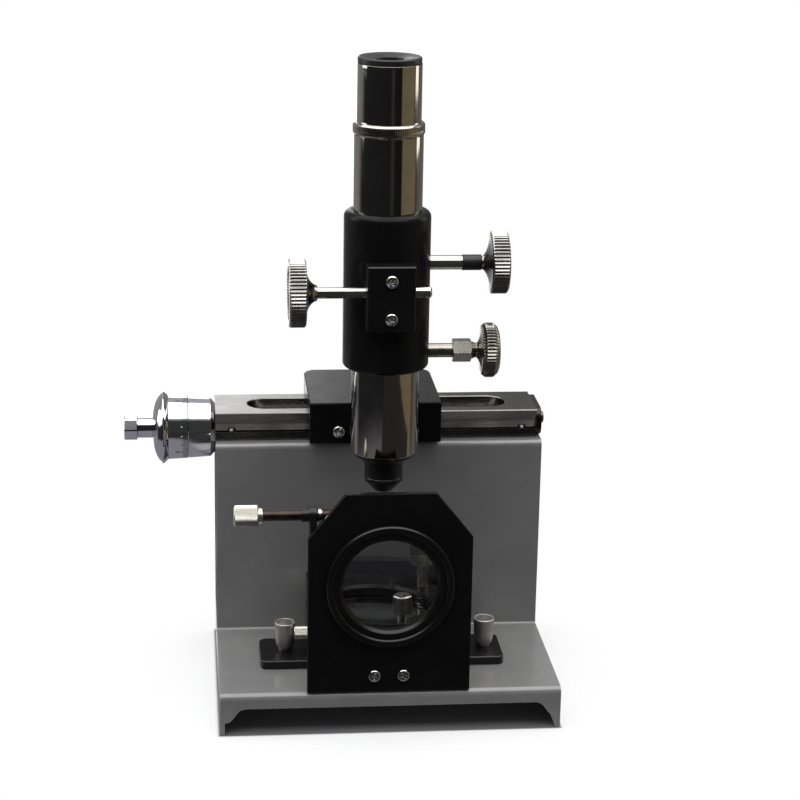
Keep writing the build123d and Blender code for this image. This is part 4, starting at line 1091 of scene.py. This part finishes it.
soft_light("ceiling", (-0.05, -0.125, 1.10), (-0.05, -0.125, 0), (1.8, 1.41), 19)
soft_light("left_wall", (-1.05, 0.25, 0.55), (0, 0, 0.14), (0.5, 0.9), 3)
soft_light("right_wall", (1.15, 0.35, 0.5), (0, 0, 0.14), (0.4, 0.9), 2, (1.0, 0.96, 0.9))

world = bpy.data.worlds.new("studio")
bpy.context.scene.world = world
world.use_nodes = True
tree = world.node_tree
tree.nodes.clear()


def sky(kind, settings=None, *values):
    made = tree.nodes.new(kind)
    for key, value in (settings or {}).items():
        setattr(made, key, value)
    for socket, value in zip(made.inputs, values):
        if isinstance(value, bpy.types.NodeSocket):
            tree.links.new(value, socket)
        elif value is not None:
            socket.default_value = value
    return made


direction = sky("ShaderNodeSeparateXYZ", None, sky("ShaderNodeTexCoord").outputs["Generated"])
# 0 straight towards the user's side, turning through the right at 0.25 to the back at 0.5
turn = sky("ShaderNodeMath", {"operation": "ARCTAN2"}, direction.outputs[0], sky(
    "ShaderNodeMath", {"operation": "MULTIPLY"}, direction.outputs[1], -1.0).outputs[0])
share = sky("ShaderNodeMapRange", None, turn.outputs[0], -math.pi, math.pi, 0.0, 1.0)
room = sky("ShaderNodeValToRGB", None, share.outputs[0])
ROOM = [
    (0.000, (2.40, 2.40, 2.40)), (0.020, (2.20, 2.20, 2.20)), (0.040, (0.30, 0.30, 0.30)),
    (0.170, (0.24, 0.24, 0.24)), (0.215, (0.020, 0.020, 0.022)),
    (0.500, (0.014, 0.014, 0.015)), (0.518, (0.036, 0.038, 0.036)), (0.530, (0.036, 0.038, 0.036)),
    (0.545, (0.012, 0.012, 0.012)), (0.607, (0.010, 0.010, 0.008)), (0.617, (0.185, 0.155, 0.095)),
    (0.755, (0.20, 0.165, 0.105)), (0.775, (0.06, 0.05, 0.035)), (0.800, (0.13, 0.125, 0.115)),
    (0.960, (0.20, 0.195, 0.185)), (0.988, (0.24, 0.24, 0.24)), (0.9935, (2.40, 2.40, 2.40)),
    (1.000, (2.40, 2.40, 2.40)),
]
ramp = room.color_ramp
while len(ramp.elements) < len(ROOM):
    ramp.elements.new(0.5)
for element, (place, colour) in zip(ramp.elements, ROOM):
    element.position = place
    element.color = (*colour, 1)


def tinted(before, low, high, colour, rear_only=False):
    """The sky so far, turning to a colour as the direction's height goes from low to high."""
    smooth = {"interpolation_type": "SMOOTHSTEP"}
    height = sky("ShaderNodeMapRange", smooth, direction.outputs[2], low, high, 0.0, 1.0)
    made = sky("ShaderNodeMix", {"data_type": "RGBA"})
    if rear_only:
        behind = sky("ShaderNodeMapRange", None, direction.outputs[1], 0.0, 0.1, 0.0, 1.0)
        height = sky("ShaderNodeMath", {"operation": "MULTIPLY"}, height.outputs[0], behind.outputs[0])
    tree.links.new(height.outputs[0], made.inputs[0])
    source = before.outputs["Color"] if "Color" in before.outputs else before.outputs[2]
    tree.links.new(source, made.inputs[6])
    made.inputs[7].default_value = (*colour, 1)
    return made


lifted = tinted(room, 0.36, 0.44, (0.40, 0.40, 0.41), True)
lifted = tinted(lifted, 0.62, 0.74, (0.42, 0.42, 0.43))
lifted = tinted(lifted, -0.34, -0.42, (0.225, 0.217, 0.245))
path = sky("ShaderNodeLightPath")
glossy = sky("ShaderNodeBackground", None, lifted.outputs[2], 1.0)
seen = sky("ShaderNodeBackground", None, (1.0, 1.0, 1.0, 1), 1.0)
soft = sky("ShaderNodeBackground", None, (0.95, 0.97, 1.0, 1), 0.26)
first = sky("ShaderNodeMixShader", None, path.outputs["Is Glossy Ray"], soft.outputs[0], glossy.outputs[0])
second = sky("ShaderNodeMixShader", None, path.outputs["Is Camera Ray"], first.outputs[0], seen.outputs[0])
sky("ShaderNodeOutputWorld", None, second.outputs[0])

EYE = Vector((-88.527, -940.777, 417.126))
YAW, PITCH, ROLL = -0.101538, 0.290747, 0.017985
camera_data = bpy.data.cameras.new("camera")
camera_data.sensor_width = 36.0
camera_data.lens = 99.0
camera_data.clip_start, camera_data.clip_end = 0.01, 50
camera = bpy.data.objects.new("camera", camera_data)
bpy.context.scene.collection.objects.link(camera)
bpy.context.scene.camera = camera
heading = Matrix.Rotation(YAW, 3, "Z")
forward = heading @ Vector((0, math.cos(PITCH), -math.sin(PITCH)))
upright = heading @ Vector((0, math.sin(PITCH), math.cos(PITCH)))
level = heading @ X
right = level * math.cos(ROLL) + upright * math.sin(ROLL)
up = upright * math.cos(ROLL) - level * math.sin(ROLL)
pose = Matrix((right, up, -forward)).transposed().to_4x4()
pose.translation = EYE * MM
camera.matrix_world = pose

bpy.context.scene.view_settings.view_transform = "Standard"
